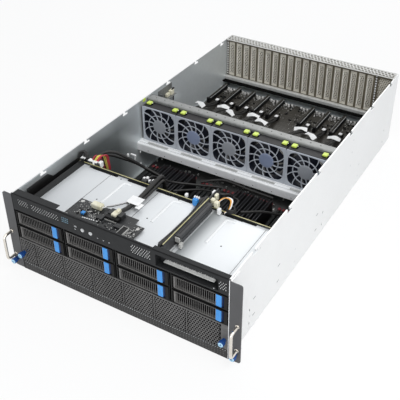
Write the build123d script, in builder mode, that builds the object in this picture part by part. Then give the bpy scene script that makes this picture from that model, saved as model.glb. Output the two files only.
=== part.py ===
"""Rack server, four rack units high, open on top.

The origin is the centre of the base plate's underside. X runs across the chassis, Y from the front to the
rear and Z up, in millimetres. Offsets named after a depth are measured backwards from the front panel.
"""

import os
from math import cos, radians, sin

from build123d import *

os.makedirs("parts", exist_ok=True)

# Chassis sheet metal
chassis_width = 440.0
chassis_depth = 800.0
chassis_height = 174.5
sheet = 1.2
bend_radius = 1.0
hem_height = 4.0
panel_sheet = 1.5
seat_gap = 0.1
slide_gap = 0.3
notch_depths = (79.0, 206.0, 334.0, 499.0, 621.0, 744.0)
notch_width = 9.0
notch_height = 9.0
notch_throat = 4.0
notch_hook = 8.0
rail_slot_depths = (71.0, 382.0, 747.0)
rail_heights = (19.0, 50.0)
rail_slot_width = 3.0
rail_slot_height = 6.0

# Rack ears, handles and captive screws
rack_hole_spacing = 465.1
ear_margin = 8.75
ear_sheet = 2.5
ear_height = 169.0
ear_foot = 1.5
ear_flange_depth = 30.0
ear_flange_sheet = 1.5
ear_screw_height = 20.0
handle_x = 235.0
handle_radius = 2.75
handle_reach = 24.0
handle_low = 30.0
handle_high = 84.0
handle_bend = 9.0
bar_sides = 6
screw_head_radius = 5.5
screw_grip_sides = 12
screw_head_length = 9.0
screw_head_gap = 5.0
screw_neck_radius = 3.2
screw_neck_stand = 1.0
screw_shank_radius = 3.0
screw_shank_length = 12.0
screw_fit = 0.06
grille_screw_x = 212.0
grille_screw_height = 42.0
grille_shank_length = 7.0

# Front panels
grille_height = 75.0
grille_seam_first = -180.7
grille_seam_pitch = 65.4
grille_fields = 5
grille_columns = 3
grille_rows = 1
grille_web = 2.4
grille_window_low = 24.0
grille_window_high = 70.0
grille_end_columns = 2
strip_low = 140.0
strip_vents = (
    (-206.0, -183.0, 0.39, 0.75),
    (-175.5, -115.0, 0.38, 0.72),
    (36.0, 74.0, 0.26, 0.78),
    (205.0, 215.0, 0.23, 0.70),
)
strip_vent_pitch = 8.6
vent_web = 1.6
strip_flange_wide = 16.0
strip_flange_step_x = -122.0
strip_flange_thin = 5.0
strip_bar_depth = 11.0
card_window = (84.0, 200.0)
card_window_gap = 0.6
card_window_share = 0.75
card_recess_depth = 15.0
card_bracket = (94.0, 186.0)
card_bracket_share = (0.13, 0.92)
card_bracket_slots = 8
button_xs = (-63.0, -46.0)
button_share = 0.42
button_radius = 3.4
button_proud = 1.0
button_length = 8.0
button_names = ("power", "locate")

# Drive bays
bay_pitch_x = 109.7
bay_columns = 4
bay_rows_z = (90.5, 122.5)
bay_width = 104.8
cage_sheet = 1.0
cage_depth = 176.0
cage_floor = 75.0
cage_top = 141.0
ledge_width = 3.0
ledge_sheet = 1.6
cage_seam_first = -134.0
cage_seam_depth = 15.0
cage_bead_first = -96.0
cage_bead_start = 91.0
cage_bead_end = 163.0
cage_bead_width = 3.0
cage_bead_height = 1.0
cage_rear_cutouts = ((-177.0, -119.0), (-95.0, -45.0), (-33.0, 2.0), (15.0, 45.0), (104.0, 150.0))
cage_cutout_depth = 5.0
guide_x = (-212.0, -200.0)
guide_depths = (30.0, 175.0)
guide_bracket_end = 100.0
guide_height = 14.0
guide_bracket_height = 26.0

# Drive trays, levers and latches
caddy_width = 103.6
caddy_height = 28.0
caddy_frame_depth = 12.0
caddy_rim = 1.8
caddy_left_post = 1.8
caddy_right_post = 6.4
caddy_wall = 0.9
caddy_wall_height = 20.0
caddy_depth = 162.0
drive_width = 101.6
drive_height = 26.1
drive_length = 147.0
drive_depth = 20.0
lever_sheet = 6.0
lever_recess = 0.5
lever_pin_radius = 1.1
lever_pin_fit = 0.05
lever_pin_reach = 1.4
pin_sides = 8
louvre_count = 5
louvre_slot = 10.6
louvre_margin = 2.4
latch_width = 14.4
latch_proud = 0.5
latch_depth = 7.5
latch_groove = 1.2
latch_corner = 1.2

# Backplane
board_sheet = 1.6
backplane_width = 432.0
backplane_low = 64.0
backplane_high = 145.0
plug_width = 42.0
plug_height = 6.0
backplane_slot_height = 6.0
header_width = 10.0
header_depth = 8.0
header_height = 12.0
header_top = 150.0
header_xs = (-207.0, -189.0, -172.0, -62.0, -46.0, -30.0, 55.0)

# Control board above the cage
control_x = (-130.0, 17.0)
control_depths = (20.0, 80.0)
control_step = (-4.0, 66.0)
control_height = 144.5
control_plugs = ((-86.0, 71.5, 14.0, 9.0), (-42.0, 68.0, 28.0, 14.0))
control_chips = ((-96.5, 45.0, 9.0, 6.0), (-64.0, 50.0, 12.0, 12.0), (-22.0, 45.0, 16.0, 10.0))
control_plug_height = 9.0
control_chip_height = 4.0
standoff_radius = 3.0
standoff_inset = 6.0

# Riser card
riser_x = 82.0
riser_depths = (25.0, 205.0)
riser_low = 142.5
riser_high = 167.0
riser_tail_depth = 172.0
riser_tail_low = 153.0
shroud_depths = (60.0, 165.0)
shroud_width = 10.0
shroud_low = 146.0
shroud_high = 163.0
shroud_slot = 2.0
riser_foot_depths = (40.0, 150.0)
riser_foot_width = 10.0
riser_foot_height = 18.0

# Fan wall
fan_count = 5
fan_pitch = 85.7
fan_front_depth = 391.0
fan_depth = 25.0
fan_width = 83.7
fan_height = 84.0
fan_opening = 77.0
fan_opening_corner = 14.0
guard_sheet = 2.2
guard_hub_radius = 16.5
guard_ring_radius = 27.0
guard_ring_width = 2.0
guard_spokes = 8
guard_spoke_width = 2.2
guard_spoke_sweep = 24.0
guard_spoke_reach = 47.0
fan_centre_rise = 41.8
tab_x = 32.5
tab_width = 9.0
tab_depths = (13.0, 19.0)
tab_height = 3.0
hub_radius = 16.0
hub_length = 15.0
blade_count = 5
blade_radius = 37.0
blade_sheet = 1.8
blade_chord = 18.0
blade_camber = 2.5
blade_pitch = 42.0
shaft_radius = 1.5
shaft_fit = 0.05
shaft_length = 10.0
motor_arm_width = 5.0
shelf_height = 80.0
shelf_front_depth = 372.0
shelf_rear_depth = 441.0
shelf_lip = 18.0
beam_front_depth = 416.6
beam_rear_depth = 437.0
beam_drop = 0.2
beam_leg = 12.0
post_sheet = 1.0
post_height = 150.0
clip_depths = (460.0, 515.0)
clip_heights = (140.0, 165.0)
clip_width = 14.0

# Main board
main_board_depths = (190.0, 560.0)
main_board_width = 410.0
main_board_height = 8.0
memory_count = 8
memory_pitch = 9.4
memory_width = 6.0
memory_height = 34.0
memory_length = 133.0
memory_depth = 225.0
memory_group_x = (-152.0, -26.0, 26.0, 152.0)
socket_size = 76.0
socket_height = 6.0
cooler_x = 89.0
cooler_width = 78.0
cooler_length = 108.0
cooler_depth = 235.0
cooler_height = 54.0
cooler_base = 5.0
cooler_fins = 12
cooler_fin_sheet = 1.2

# Card bay
deck_height = 46.0
deck_lead = 9.0
deck_rear_depth = 770.0
deck_flange = 12.0
switch_board_height = 50.6
switch_board_lead = 25.0
switch_board_rear_depth = 748.0
switch_board_width = 424.0
slot_edge = 10.0
slot_pitch = 40.64
slot_places = (0, 1, 2, 3, 4, 6, 7, 8)
slot_rear_depth = 745.0
slot_length = 89.6
slot_width = 7.5
slot_height = 11.2
slot_key = 1.9
slot_key_depth = 7.0
power_socket_depth = 665.0
power_socket_size = 10.0
power_socket_shift = 22.0

# Rear wall
cover_depth = 775.0
cover_count = 19
cover_pitch = 20.32
cover_first_x = -203.5
cover_width = 16.6
cover_sheet = 0.9
cover_low = 76.0
cover_drop = 7.5
cover_slots = 1
cover_slot_width = 10.0
cover_opening_width = 12.0
ledge_height = 64.0
rear_flange_depth = 768.0
flange_holes = 8
flange_hole_size = 16.0
rail_depth = 750.0
rail_low = 64.6
rail_high = 75.0

# Power supplies
supply_count = 4
supply_pitch = 76.0
supply_first_x = -176.0
supply_width = 73.5
supply_height = 40.0
supply_length = 185.0
supply_float = 0.4
inlet_width = 27.0
inlet_height = 19.0
inlet_depth = 14.0
supply_fan_radius = 15.5
supply_fan_bars = 3
supply_handle_reach = 27.0
supply_handle_sheet = 3.0
supply_handle_height = 10.0
supply_handle_width = 30.0
supply_handle_bend = 7.0
supply_latch_width = 9.0
supply_latch_height = 12.0
supply_latch_reach = 10.0
port_xs = (112.0, 132.0)
port_width = 16.0
port_height = 13.5
port_low = 12.0

# Cables
cable_width = 12.0
cable_sheet = 5.0
cable_bend = 16.0
cable_socket_depth = 480.0
cable_crest_rise = 26.0
cable_end_depth = 628.0
lead_radius = 4.0
lead_sides = 6
lead_bend = 14.0
lead_route = (
    (-42.0, 75.5, 151.0),
    (-38.0, 100.0, 147.0),
    (-36.0, 140.0, 150.0),
    (-36.0, 204.0, 158.0),
    (-36.0, 204.0, 60.0),
)
riser_wire_radius = 2.0
riser_wire_bend = 7.0
riser_wire_route = (
    (83.0, 196.0, 163.0),
    (98.0, 196.0, 165.0),
    (104.0, 212.0, 158.0),
    (104.0, 212.0, 70.0),
)

front = -chassis_depth / 2
rear = chassis_depth / 2
side = chassis_width / 2
inner = side - sheet
panel_back = front + panel_sheet
hem_bottom = chassis_height - hem_height
switch_board_front = front + cable_socket_depth - switch_board_lead
switch_board_rear = front + switch_board_rear_depth
deck_front = switch_board_front - deck_lead
deck_rear = front + deck_rear_depth
slot_first_x = slot_edge - switch_board_width / 2


def strip_z(share):
    """The height of a point in the upper front strip, from its share of the strip's height."""
    return strip_low + share * (chassis_height - strip_low)


def upright(y):
    """The plane across the chassis at y, with sketch axes X and Z. A negative extrusion runs backwards."""
    return Plane.XZ.offset(-y)


def span(u, v, mode=Mode.ADD):
    """A rectangle in the open sketch between the pairs of limits u and v."""
    with Locations(((u[0] + u[1]) / 2, (v[0] + v[1]) / 2)):
        Rectangle(abs(u[1] - u[0]), abs(v[1] - v[0]), mode=mode)


def window_grid(u, v, columns, rows, web):
    """Openings that fill the area between the limits u and v of the open sketch, with webs between them."""
    width = (u[1] - u[0] - (columns - 1) * web) / columns
    height = (v[1] - v[0] - (rows - 1) * web) / rows
    with Locations(((u[0] + u[1]) / 2, (v[0] + v[1]) / 2)):
        with GridLocations(width + web, height + web, columns, rows):
            Rectangle(width, height)


# Base and side walls, folded from one sheet with a hemmed top edge, and the deck under the switch board
with BuildPart() as chassis_tray:
    with BuildSketch(upright(front)):
        span((-side, side), (0, chassis_height))
        span((-inner, inner), (sheet, chassis_height), mode=Mode.SUBTRACT)
        for hand in (-1, 1):
            span((hand * (inner - sheet), hand * inner), (hem_bottom, chassis_height))
    extrude(amount=-chassis_depth)
    fillet(chassis_tray.edges().filter_by(Axis.Y).group_by(Axis.Z)[0], bend_radius)
    with BuildSketch(Plane.XY):
        span((-inner, inner), (front, panel_back))
    extrude(amount=chassis_height, mode=Mode.SUBTRACT)
    with BuildSketch(Plane.XY.offset(hem_bottom)):
        span((-inner, inner), (front + rear_flange_depth - seat_gap, rear))
    extrude(amount=hem_height, mode=Mode.SUBTRACT)
    with BuildSketch(Plane.YZ.offset(-side)):
        for depth in notch_depths:
            start = front + depth - notch_width / 2
            span((start, start + notch_width), (chassis_height - notch_height, chassis_height))
            span(
                (start, start + notch_width + notch_hook),
                (chassis_height - notch_height, chassis_height - notch_height + notch_throat),
            )
        with Locations(*[(front + depth, z) for depth in rail_slot_depths for z in rail_heights]):
            Rectangle(rail_slot_width, rail_slot_height)
    extrude(amount=chassis_width, mode=Mode.SUBTRACT)
    board_centre = front + sum(main_board_depths) / 2
    board_length = main_board_depths[1] - main_board_depths[0]
    with BuildSketch(Plane.XY.offset(sheet)):
        with Locations((0, board_centre)):
            board_span = (main_board_width - 4 * standoff_inset, board_length - 4 * standoff_inset)
            with GridLocations(*board_span, 2, 2):
                RegularPolygon(standoff_radius, 6)
    extrude(amount=main_board_height - sheet)
    with BuildSketch(upright(deck_front)):
        deck_edge = inner - seat_gap
        span((-deck_edge, deck_edge), (deck_height, deck_height + sheet))
        for hand in (-1, 1):
            span((hand * (deck_edge - sheet), hand * deck_edge), (deck_height - deck_flange, deck_height))
    extrude(amount=deck_front - deck_rear)
    switch_board_length = switch_board_rear - switch_board_front
    with BuildSketch(Plane.XY.offset(deck_height + sheet)):
        with Locations((0, (switch_board_front + switch_board_rear) / 2)):
            board_span = (switch_board_width - 4 * standoff_inset, switch_board_length - 4 * standoff_inset)
            with GridLocations(*board_span, 2, 2):
                RegularPolygon(standoff_radius, 6)
    extrude(amount=switch_board_height - deck_height - sheet)
chassis_tray.part.label = "chassis_tray"
export_step(chassis_tray.part, "parts/chassis_tray.step")

# Stepped rear wall with its perforated top flange, the card rail and the comb that guides the supplies
supply_xs = [supply_first_x + supply_pitch * i for i in range(supply_count)]
supply_floor = sheet + supply_float
supply_front = rear - supply_length
comb_top = supply_floor + supply_height + supply_float + sheet
cover_high = chassis_height - cover_drop
cover_xs = [cover_first_x + cover_pitch * i for i in range(cover_count)]
cover_y = front + cover_depth
with BuildPart() as rear_panel:
    with BuildSketch(Plane.YZ.offset(-inner)):
        span((rear - sheet, rear), (sheet, ledge_height))
        span((cover_y, rear), (ledge_height - sheet, ledge_height))
        span((cover_y, cover_y + sheet), (ledge_height - sheet, chassis_height))
        span((front + rear_flange_depth, rear), (chassis_height - sheet, chassis_height))
    extrude(amount=2 * inner)
    with BuildSketch(upright(rear - sheet)):
        for x in supply_xs:
            reach = supply_width / 2 + supply_float
            span((x - reach, x + reach), (sheet, supply_floor + supply_height + supply_float))
        for x in port_xs:
            span((x - port_width / 2, x + port_width / 2), (port_low, port_low + port_height))
    extrude(amount=-sheet, mode=Mode.SUBTRACT)
    with BuildSketch(upright(cover_y)):
        for x in cover_xs:
            span(
                (x - cover_opening_width / 2, x + cover_opening_width / 2),
                (cover_low + 4 * sheet, cover_high - 4 * sheet),
            )
    extrude(amount=-sheet, mode=Mode.SUBTRACT)
    flange_centre = (front + rear_flange_depth + rear) / 2
    with BuildSketch(Plane.XY.offset(chassis_height - sheet)):
        with Locations((0, flange_centre)):
            with GridLocations(2 * inner / flange_holes, flange_hole_size, flange_holes, 1):
                Rectangle(flange_hole_size, flange_hole_size, rotation=45)
    extrude(amount=sheet, mode=Mode.SUBTRACT)
    with BuildSketch(Plane.YZ.offset(-inner + seat_gap)):
        span((front + rail_depth, cover_y - seat_gap), (rail_low, rail_high))
        span(
            (front + rail_depth + sheet, cover_y - sheet),
            (rail_low - sheet, rail_high - sheet),
            mode=Mode.SUBTRACT,
        )
    extrude(amount=2 * (inner - seat_gap))
    with BuildSketch(upright(supply_front)):
        comb_left = supply_xs[0] - supply_pitch / 2
        comb_right = supply_xs[-1] + supply_pitch / 2
        span((comb_left, comb_right), (comb_top - sheet, comb_top))
        for i in range(supply_count + 1):
            x = comb_left + i * supply_pitch
            span((x - cage_sheet / 2, x + cage_sheet / 2), (sheet + seat_gap, comb_top))
    extrude(amount=-(supply_length - sheet - seat_gap))
rear_panel.part.label = "rear_panel"
export_step(rear_panel.part, "parts/rear_panel.step")

# Perforated covers, one over each card opening
with BuildPart() as slot_covers:
    with BuildSketch(upright(cover_y - cover_sheet)):
        for x in cover_xs:
            span((x - cover_width / 2, x + cover_width / 2), (cover_low, cover_high))
    extrude(amount=-cover_sheet)
    with BuildSketch(upright(cover_y - cover_sheet)):
        for x in cover_xs:
            window_grid(
                (x - cover_slot_width / 2, x + cover_slot_width / 2),
                (cover_low + 6 * sheet, cover_high - 6 * sheet),
                1,
                cover_slots,
                2 * vent_web,
            )
    extrude(amount=-cover_sheet, mode=Mode.SUBTRACT)
slot_covers.part.label = "slot_covers"
export_step(slot_covers.part, "parts/slot_covers.step")

# Upper front strip with its vents, button holes, card window and the recess behind the window
card_window_low = cage_top + card_window_gap + panel_sheet
card_window_high = strip_z(card_window_share)
card_window_height = card_window_high - card_window_low
card_bracket_low = card_window_low + card_bracket_share[0] * card_window_height
card_bracket_high = card_window_low + card_bracket_share[1] * card_window_height
button_height = strip_z(button_share)
with BuildPart() as front_bezel:
    with BuildSketch(upright(front)):
        span((-inner, inner), (strip_low, chassis_height))
        span(card_window, (card_window_low, card_window_high), mode=Mode.SUBTRACT)
        with Locations(*[(x, button_height) for x in button_xs]):
            Circle(button_radius + slide_gap, mode=Mode.SUBTRACT)
    extrude(amount=-panel_sheet)
    with BuildSketch(upright(front)):
        for low_x, high_x, low_share, high_share in strip_vents:
            heights = (strip_z(low_share), strip_z(high_share))
            columns = round((high_x - low_x) / strip_vent_pitch)
            rows = max(1, round((heights[1] - heights[0]) / strip_vent_pitch))
            window_grid((low_x, high_x), heights, columns, rows, vent_web)
    extrude(amount=-panel_sheet, mode=Mode.SUBTRACT)
    hem_edge = inner - sheet - seat_gap
    with BuildSketch(Plane.XY.offset(chassis_height - panel_sheet)):
        span((-hem_edge, strip_flange_step_x), (front, front + strip_flange_wide))
        span((strip_flange_step_x, card_window[0] - panel_sheet), (front, front + strip_flange_thin))
        span((card_window[0] - panel_sheet, hem_edge), (front, front + strip_bar_depth))
    extrude(amount=panel_sheet)
    with BuildSketch(upright(front)):
        span(
            (card_window[0] - panel_sheet, card_window[1] + panel_sheet),
            (card_window_low - panel_sheet, card_window_high + panel_sheet),
        )
        span(card_window, (card_window_low, card_window_high), mode=Mode.SUBTRACT)
    extrude(amount=-card_recess_depth)
    with BuildSketch(upright(front + card_recess_depth)):
        span(
            (card_window[0] - panel_sheet, card_window[1] + panel_sheet),
            (card_window_low - panel_sheet, card_window_high + panel_sheet),
        )
        span(card_bracket, (card_bracket_low, card_bracket_high), mode=Mode.SUBTRACT)
    extrude(amount=-panel_sheet)
front_bezel.part.label = "front_bezel"
export_step(front_bezel.part, "parts/front_bezel.step")

# Lower front panel, perforated in fields with plain seams between them
with BuildPart() as front_grille:
    with BuildSketch(upright(front)):
        span((-inner, inner), (0, grille_height))
        with Locations((-grille_screw_x, grille_screw_height), (grille_screw_x, grille_screw_height)):
            Circle(screw_neck_radius + screw_fit, mode=Mode.SUBTRACT)
    extrude(amount=-panel_sheet)
    with BuildSketch(upright(front)):
        for i in range(grille_fields):
            start = grille_seam_first + i * grille_seam_pitch
            window_grid(
                (start + grille_web, start + grille_seam_pitch - grille_web),
                (grille_window_low, grille_window_high),
                grille_columns,
                grille_rows,
                grille_web,
            )
        start = grille_seam_first + grille_fields * grille_seam_pitch
        pitch = grille_seam_pitch / grille_columns
        window_grid(
            (start + grille_web, start + grille_end_columns * pitch),
            (grille_window_low, grille_window_high),
            grille_end_columns,
            grille_rows,
            grille_web,
        )
        window_grid(
            (grille_seam_first - pitch, grille_seam_first - grille_web),
            (grille_window_low, grille_window_high),
            1,
            grille_rows,
            grille_web,
        )
    extrude(amount=-panel_sheet, mode=Mode.SUBTRACT)
front_grille.part.label = "front_grille"
export_step(front_grille.part, "parts/front_grille.step")

# Rack ears: an angled plate on each side wall
ear_hole_x = rack_hole_spacing / 2
ear_edge = ear_hole_x + ear_margin
with BuildPart() as rack_ears:
    with BuildSketch(Plane.XY.offset(ear_foot)):
        span((side, ear_edge), (front, front + ear_sheet))
        span((side, side + ear_flange_sheet), (front, front + ear_flange_depth))
    extrude(amount=ear_height)
    with BuildSketch(upright(front)):
        with Locations((ear_hole_x, ear_screw_height)):
            Circle(screw_neck_radius + screw_fit)
    extrude(amount=-ear_sheet, mode=Mode.SUBTRACT)
    chamfer(rack_ears.edges().filter_by(Axis.Y).group_by(Axis.X)[-1], ear_sheet)
    mirror(about=Plane.YZ)
rack_ears.part.label = "rack_ears"
export_step(rack_ears.part, "parts/rack_ears.step")

# U-shaped pull handles that stand on the ears
with BuildPart() as handles:
    with BuildLine():
        FilletPolyline(
            (handle_x, front, handle_low),
            (handle_x, front - handle_reach, handle_low),
            (handle_x, front - handle_reach, handle_high),
            (handle_x, front, handle_high),
            radius=handle_bend,
        )
    with BuildSketch(Plane.XZ.offset(-front).shift_origin((handle_x, front, handle_low))):
        RegularPolygon(handle_radius, bar_sides)
    sweep()
    mirror(about=Plane.YZ)
handles.part.label = "handles"
export_step(handles.part, "parts/handles.step")


def captive_screw(x, z, plate, shank_length):
    """A thumbscrew in a plate flush with the front: a faceted grip and neck and a thinner round shank."""
    grip_back = front - screw_head_gap
    neck_back = front + plate + screw_neck_stand
    with BuildPart() as screw:
        with BuildSketch(upright(grip_back - screw_head_length)):
            with Locations((x, z)):
                RegularPolygon(screw_head_radius, screw_grip_sides)
        extrude(amount=-screw_head_length)
        with BuildSketch(upright(grip_back)):
            with Locations((x, z)):
                RegularPolygon(screw_neck_radius, screw_grip_sides)
        extrude(amount=grip_back - neck_back)
        with BuildSketch(upright(neck_back)):
            with Locations((x, z)):
                Circle(screw_shank_radius)
        extrude(amount=-shank_length)
    return screw


hands = {"left": -1, "right": 1}
for hand_name, hand in hands.items():
    ear_screw = captive_screw(hand * ear_hole_x, ear_screw_height, ear_sheet, screw_shank_length)
    ear_screw.part.label = f"ear_screw_{hand_name}"
    export_step(ear_screw.part, f"parts/ear_screw_{hand_name}.step")
    grille_screw = captive_screw(
        hand * grille_screw_x, grille_screw_height, panel_sheet, grille_shank_length
    )
    grille_screw.part.label = f"grille_screw_{hand_name}"
    export_step(grille_screw.part, f"parts/grille_screw_{hand_name}.step")

# Push buttons in the upper strip
for button_name, x in zip(button_names, button_xs):
    with BuildPart() as push_button:
        with BuildSketch(upright(front - button_proud)):
            with Locations((x, button_height)):
                RegularPolygon(button_radius, screw_grip_sides)
        extrude(amount=-button_length)
    push_button.part.label = f"button_{button_name}"
    export_step(push_button.part, f"parts/button_{button_name}.step")

# Drive cage: floor, grooved and beaded top, paired divider sheets with runner ledges, and the cable guide
bay_xs = [bay_pitch_x * (i - (bay_columns - 1) / 2) for i in range(bay_columns)]
cage_back = front + cage_depth
ledge_top = bay_rows_z[1] - caddy_height / 2 - slide_gap
with BuildPart() as drive_cage:
    with BuildSketch(upright(panel_back)):
        span((-inner, inner), (cage_floor, cage_floor + sheet))
        span((-inner, inner), (cage_top - sheet, cage_top))
        for x in bay_xs:
            for hand in (-1, 1):
                wall = x + hand * bay_width / 2
                span((wall, wall + hand * cage_sheet), (cage_floor, cage_top))
                span((wall, wall - hand * ledge_width), (ledge_top - ledge_sheet, ledge_top))
    extrude(amount=-(cage_depth - panel_sheet))
    with BuildSketch(Plane.XY.offset(cage_top - sheet)):
        for cutout in cage_rear_cutouts:
            span(cutout, (cage_back - cage_cutout_depth, cage_back))
    extrude(amount=sheet, mode=Mode.SUBTRACT)
    with BuildSketch(Plane.XY.offset(cage_top - sheet / 2)):
        for i in range(bay_columns - 1):
            x = cage_seam_first + i * bay_pitch_x
            span((x, x + sheet / 2), (front + cage_seam_depth, cage_back))
    extrude(amount=sheet / 2, mode=Mode.SUBTRACT)
    with BuildSketch(Plane.XY.offset(cage_top)):
        for i in range(bay_columns - 1):
            x = cage_bead_first + i * bay_pitch_x
            bead_middle = front + (cage_bead_start + cage_bead_end) / 2
            with Locations((x, bead_middle)):
                Rectangle(cage_bead_width, cage_bead_end - cage_bead_start)
    extrude(amount=cage_bead_height, taper=30)
    with BuildSketch(upright(front + guide_depths[0])):
        span(guide_x, (cage_top + seat_gap, cage_top + guide_height))
        span(
            (guide_x[0] + sheet, guide_x[1] - sheet),
            (cage_top + seat_gap + sheet, cage_top + guide_height),
            mode=Mode.SUBTRACT,
        )
    extrude(amount=guide_depths[0] - guide_depths[1])
    with BuildSketch(Plane.YZ.offset(guide_x[0])):
        with BuildLine():
            Polyline(
                (front + guide_depths[0], cage_top + guide_height),
                (front + guide_bracket_end, cage_top + guide_height),
                (front + guide_bracket_end - guide_height, cage_top + guide_bracket_height),
                (front + guide_depths[0], cage_top + guide_bracket_height),
                close=True,
            )
        make_face()
    extrude(amount=sheet)
drive_cage.part.label = "drive_cage"
export_step(drive_cage.part, "parts/drive_cage.step")

# Drive tray with its drive, louvred swing lever and release latch, drawn about the middle of a bay's front
lever_half_height = caddy_height / 2 - caddy_rim - slide_gap
hinge_y = front + lever_recess + lever_sheet / 2
opening_left = caddy_left_post - caddy_width / 2
opening_right = caddy_width / 2 - caddy_right_post
hinge_x = opening_left + lever_sheet / 2 + slide_gap
latch_right = opening_right - slide_gap
latch_left = latch_right - latch_width
lever_right = latch_left - slide_gap
pin_half_length = lever_half_height + slide_gap + lever_pin_reach
tray_bottom = -caddy_height / 2
with BuildPart() as caddy_form:
    with BuildSketch(upright(front)):
        Rectangle(caddy_width, caddy_height)
        span(
            (opening_left, opening_right),
            (tray_bottom + caddy_rim, -tray_bottom - caddy_rim),
            mode=Mode.SUBTRACT,
        )
    extrude(amount=-caddy_frame_depth)
    with BuildSketch(Plane.XY.offset(-pin_half_length - seat_gap)):
        with Locations((hinge_x, hinge_y)):
            RegularPolygon(lever_pin_radius + lever_pin_fit, pin_sides, major_radius=False)
    extrude(amount=2 * (pin_half_length + seat_gap), mode=Mode.SUBTRACT)
    with BuildSketch(upright(front + caddy_frame_depth)):
        span((-caddy_width / 2, caddy_width / 2), (tray_bottom, tray_bottom + caddy_wall_height))
        span(
            (caddy_wall - caddy_width / 2, caddy_width / 2 - caddy_wall),
            (tray_bottom + caddy_wall, tray_bottom + caddy_wall_height),
            mode=Mode.SUBTRACT,
        )
    extrude(amount=caddy_frame_depth - caddy_depth)
    drive_bottom = tray_bottom + caddy_wall + seat_gap
    with BuildSketch(upright(front + drive_depth)):
        span((-drive_width / 2, drive_width / 2), (drive_bottom, drive_bottom + drive_height))
    extrude(amount=-drive_length)

with BuildPart() as lever_form:
    with BuildSketch(Plane.XY.offset(-lever_half_height)):
        span((hinge_x, lever_right), (hinge_y - lever_sheet / 2, hinge_y + lever_sheet / 2))
        with Locations((hinge_x, hinge_y)):
            RegularPolygon(lever_sheet / 2, pin_sides, rotation=180 / pin_sides)
    extrude(amount=2 * lever_half_height)
    with BuildSketch(Plane.XY.offset(-pin_half_length)):
        with Locations((hinge_x, hinge_y)):
            RegularPolygon(lever_pin_radius, pin_sides)
    extrude(amount=2 * pin_half_length)
    with BuildSketch(upright(front + lever_recess)):
        louvre_left = hinge_x + lever_sheet / 2
        louvre_pitch = (lever_right - louvre_left - louvre_slot) / louvre_count
        with Locations(((louvre_left + lever_right - louvre_slot) / 2, 0)):
            with GridLocations(louvre_pitch, 1, louvre_count, 1):
                Rectangle(louvre_slot, 2 * (lever_half_height - louvre_margin))
    extrude(amount=-lever_sheet, mode=Mode.SUBTRACT)

with BuildPart() as latch_form:
    with BuildSketch(upright(front - latch_proud)):
        span((latch_left, latch_right), (-lever_half_height, lever_half_height))
    extrude(amount=-latch_depth)
    chamfer(latch_form.edges().filter_by(Axis.Z).group_by(Axis.Y)[0], latch_corner)
    with BuildSketch(upright(front - latch_proud)):
        with Locations(((latch_left + latch_right) / 2, 0)):
            Rectangle(latch_width - 2 * louvre_margin, latch_groove)
    extrude(amount=-latch_groove / 2, mode=Mode.SUBTRACT)

# The same three pieces in each of the eight bays, numbered from the upper left
bay_places = [(x, z) for z in reversed(bay_rows_z) for x in bay_xs]
for number, (x, z) in enumerate(bay_places, start=1):
    with BuildPart() as drive_caddy:
        with Locations((x, 0, z)):
            add(caddy_form.part)
    drive_caddy.part.label = f"drive_caddy_{number}"
    export_step(drive_caddy.part, f"parts/drive_caddy_{number}.step")
    with BuildPart() as caddy_lever:
        with Locations((x, 0, z)):
            add(lever_form.part)
    caddy_lever.part.label = f"caddy_lever_{number}"
    export_step(caddy_lever.part, f"parts/caddy_lever_{number}.step")
    with BuildPart() as caddy_latch:
        with Locations((x, 0, z)):
            add(latch_form.part)
    caddy_latch.part.label = f"caddy_latch_{number}"
    export_step(caddy_latch.part, f"parts/caddy_latch_{number}.step")

# Backplane: drive connectors in front, cable headers behind its top edge
backplane_front = cage_back + seat_gap
backplane_back = backplane_front + board_sheet
drive_back = front + drive_depth + drive_length
with BuildPart() as backplane:
    with BuildSketch(upright(backplane_front)):
        span((-backplane_width / 2, backplane_width / 2), (backplane_low, backplane_high))
        for x in bay_xs:
            middle = sum(bay_rows_z) / 2
            with Locations((x, middle)):
                Rectangle(plug_width, backplane_slot_height, mode=Mode.SUBTRACT)
    extrude(amount=-board_sheet)
    with BuildSketch(upright(drive_back + slide_gap)):
        with Locations(*[(x, z - plug_height) for x, z in bay_places]):
            Rectangle(plug_width, plug_height)
    extrude(amount=-(backplane_front - drive_back - slide_gap))
    with BuildSketch(Plane.XY.offset(header_top - header_height)):
        for x in header_xs:
            with Locations((x, backplane_back + header_depth / 2)):
                Rectangle(header_width, header_depth)
    extrude(amount=header_height)
backplane.part.label = "backplane"
export_step(backplane.part, "parts/backplane.step")

# Control board on standoffs above the drive cage, with its connectors and chips
with BuildPart() as control_board:
    control_front = front + control_depths[0]
    control_back = front + control_depths[1]
    with BuildSketch(Plane.XY.offset(control_height)):
        span(control_x, (control_front, control_back))
        span(
            (control_step[0], control_x[1]),
            (front + control_step[1], control_back),
            mode=Mode.SUBTRACT,
        )
    extrude(amount=board_sheet)
    with BuildSketch(Plane.XY.offset(cage_top)):
        for x in (control_x[0] + standoff_inset, control_x[1] - standoff_inset):
            for y in (control_front + standoff_inset, front + control_step[1] - standoff_inset):
                with Locations((x, y)):
                    RegularPolygon(standoff_radius, 6)
    extrude(amount=control_height - cage_top)
    board_top = Plane.XY.offset(control_height + board_sheet)
    for blocks, height in ((control_plugs, control_plug_height), (control_chips, control_chip_height)):
        with BuildSketch(board_top):
            for x, depth, width, length in blocks:
                with Locations((x, front + depth)):
                    Rectangle(width, length)
        extrude(amount=height)
control_board.part.label = "control_board"
export_step(control_board.part, "parts/control_board.step")

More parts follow.
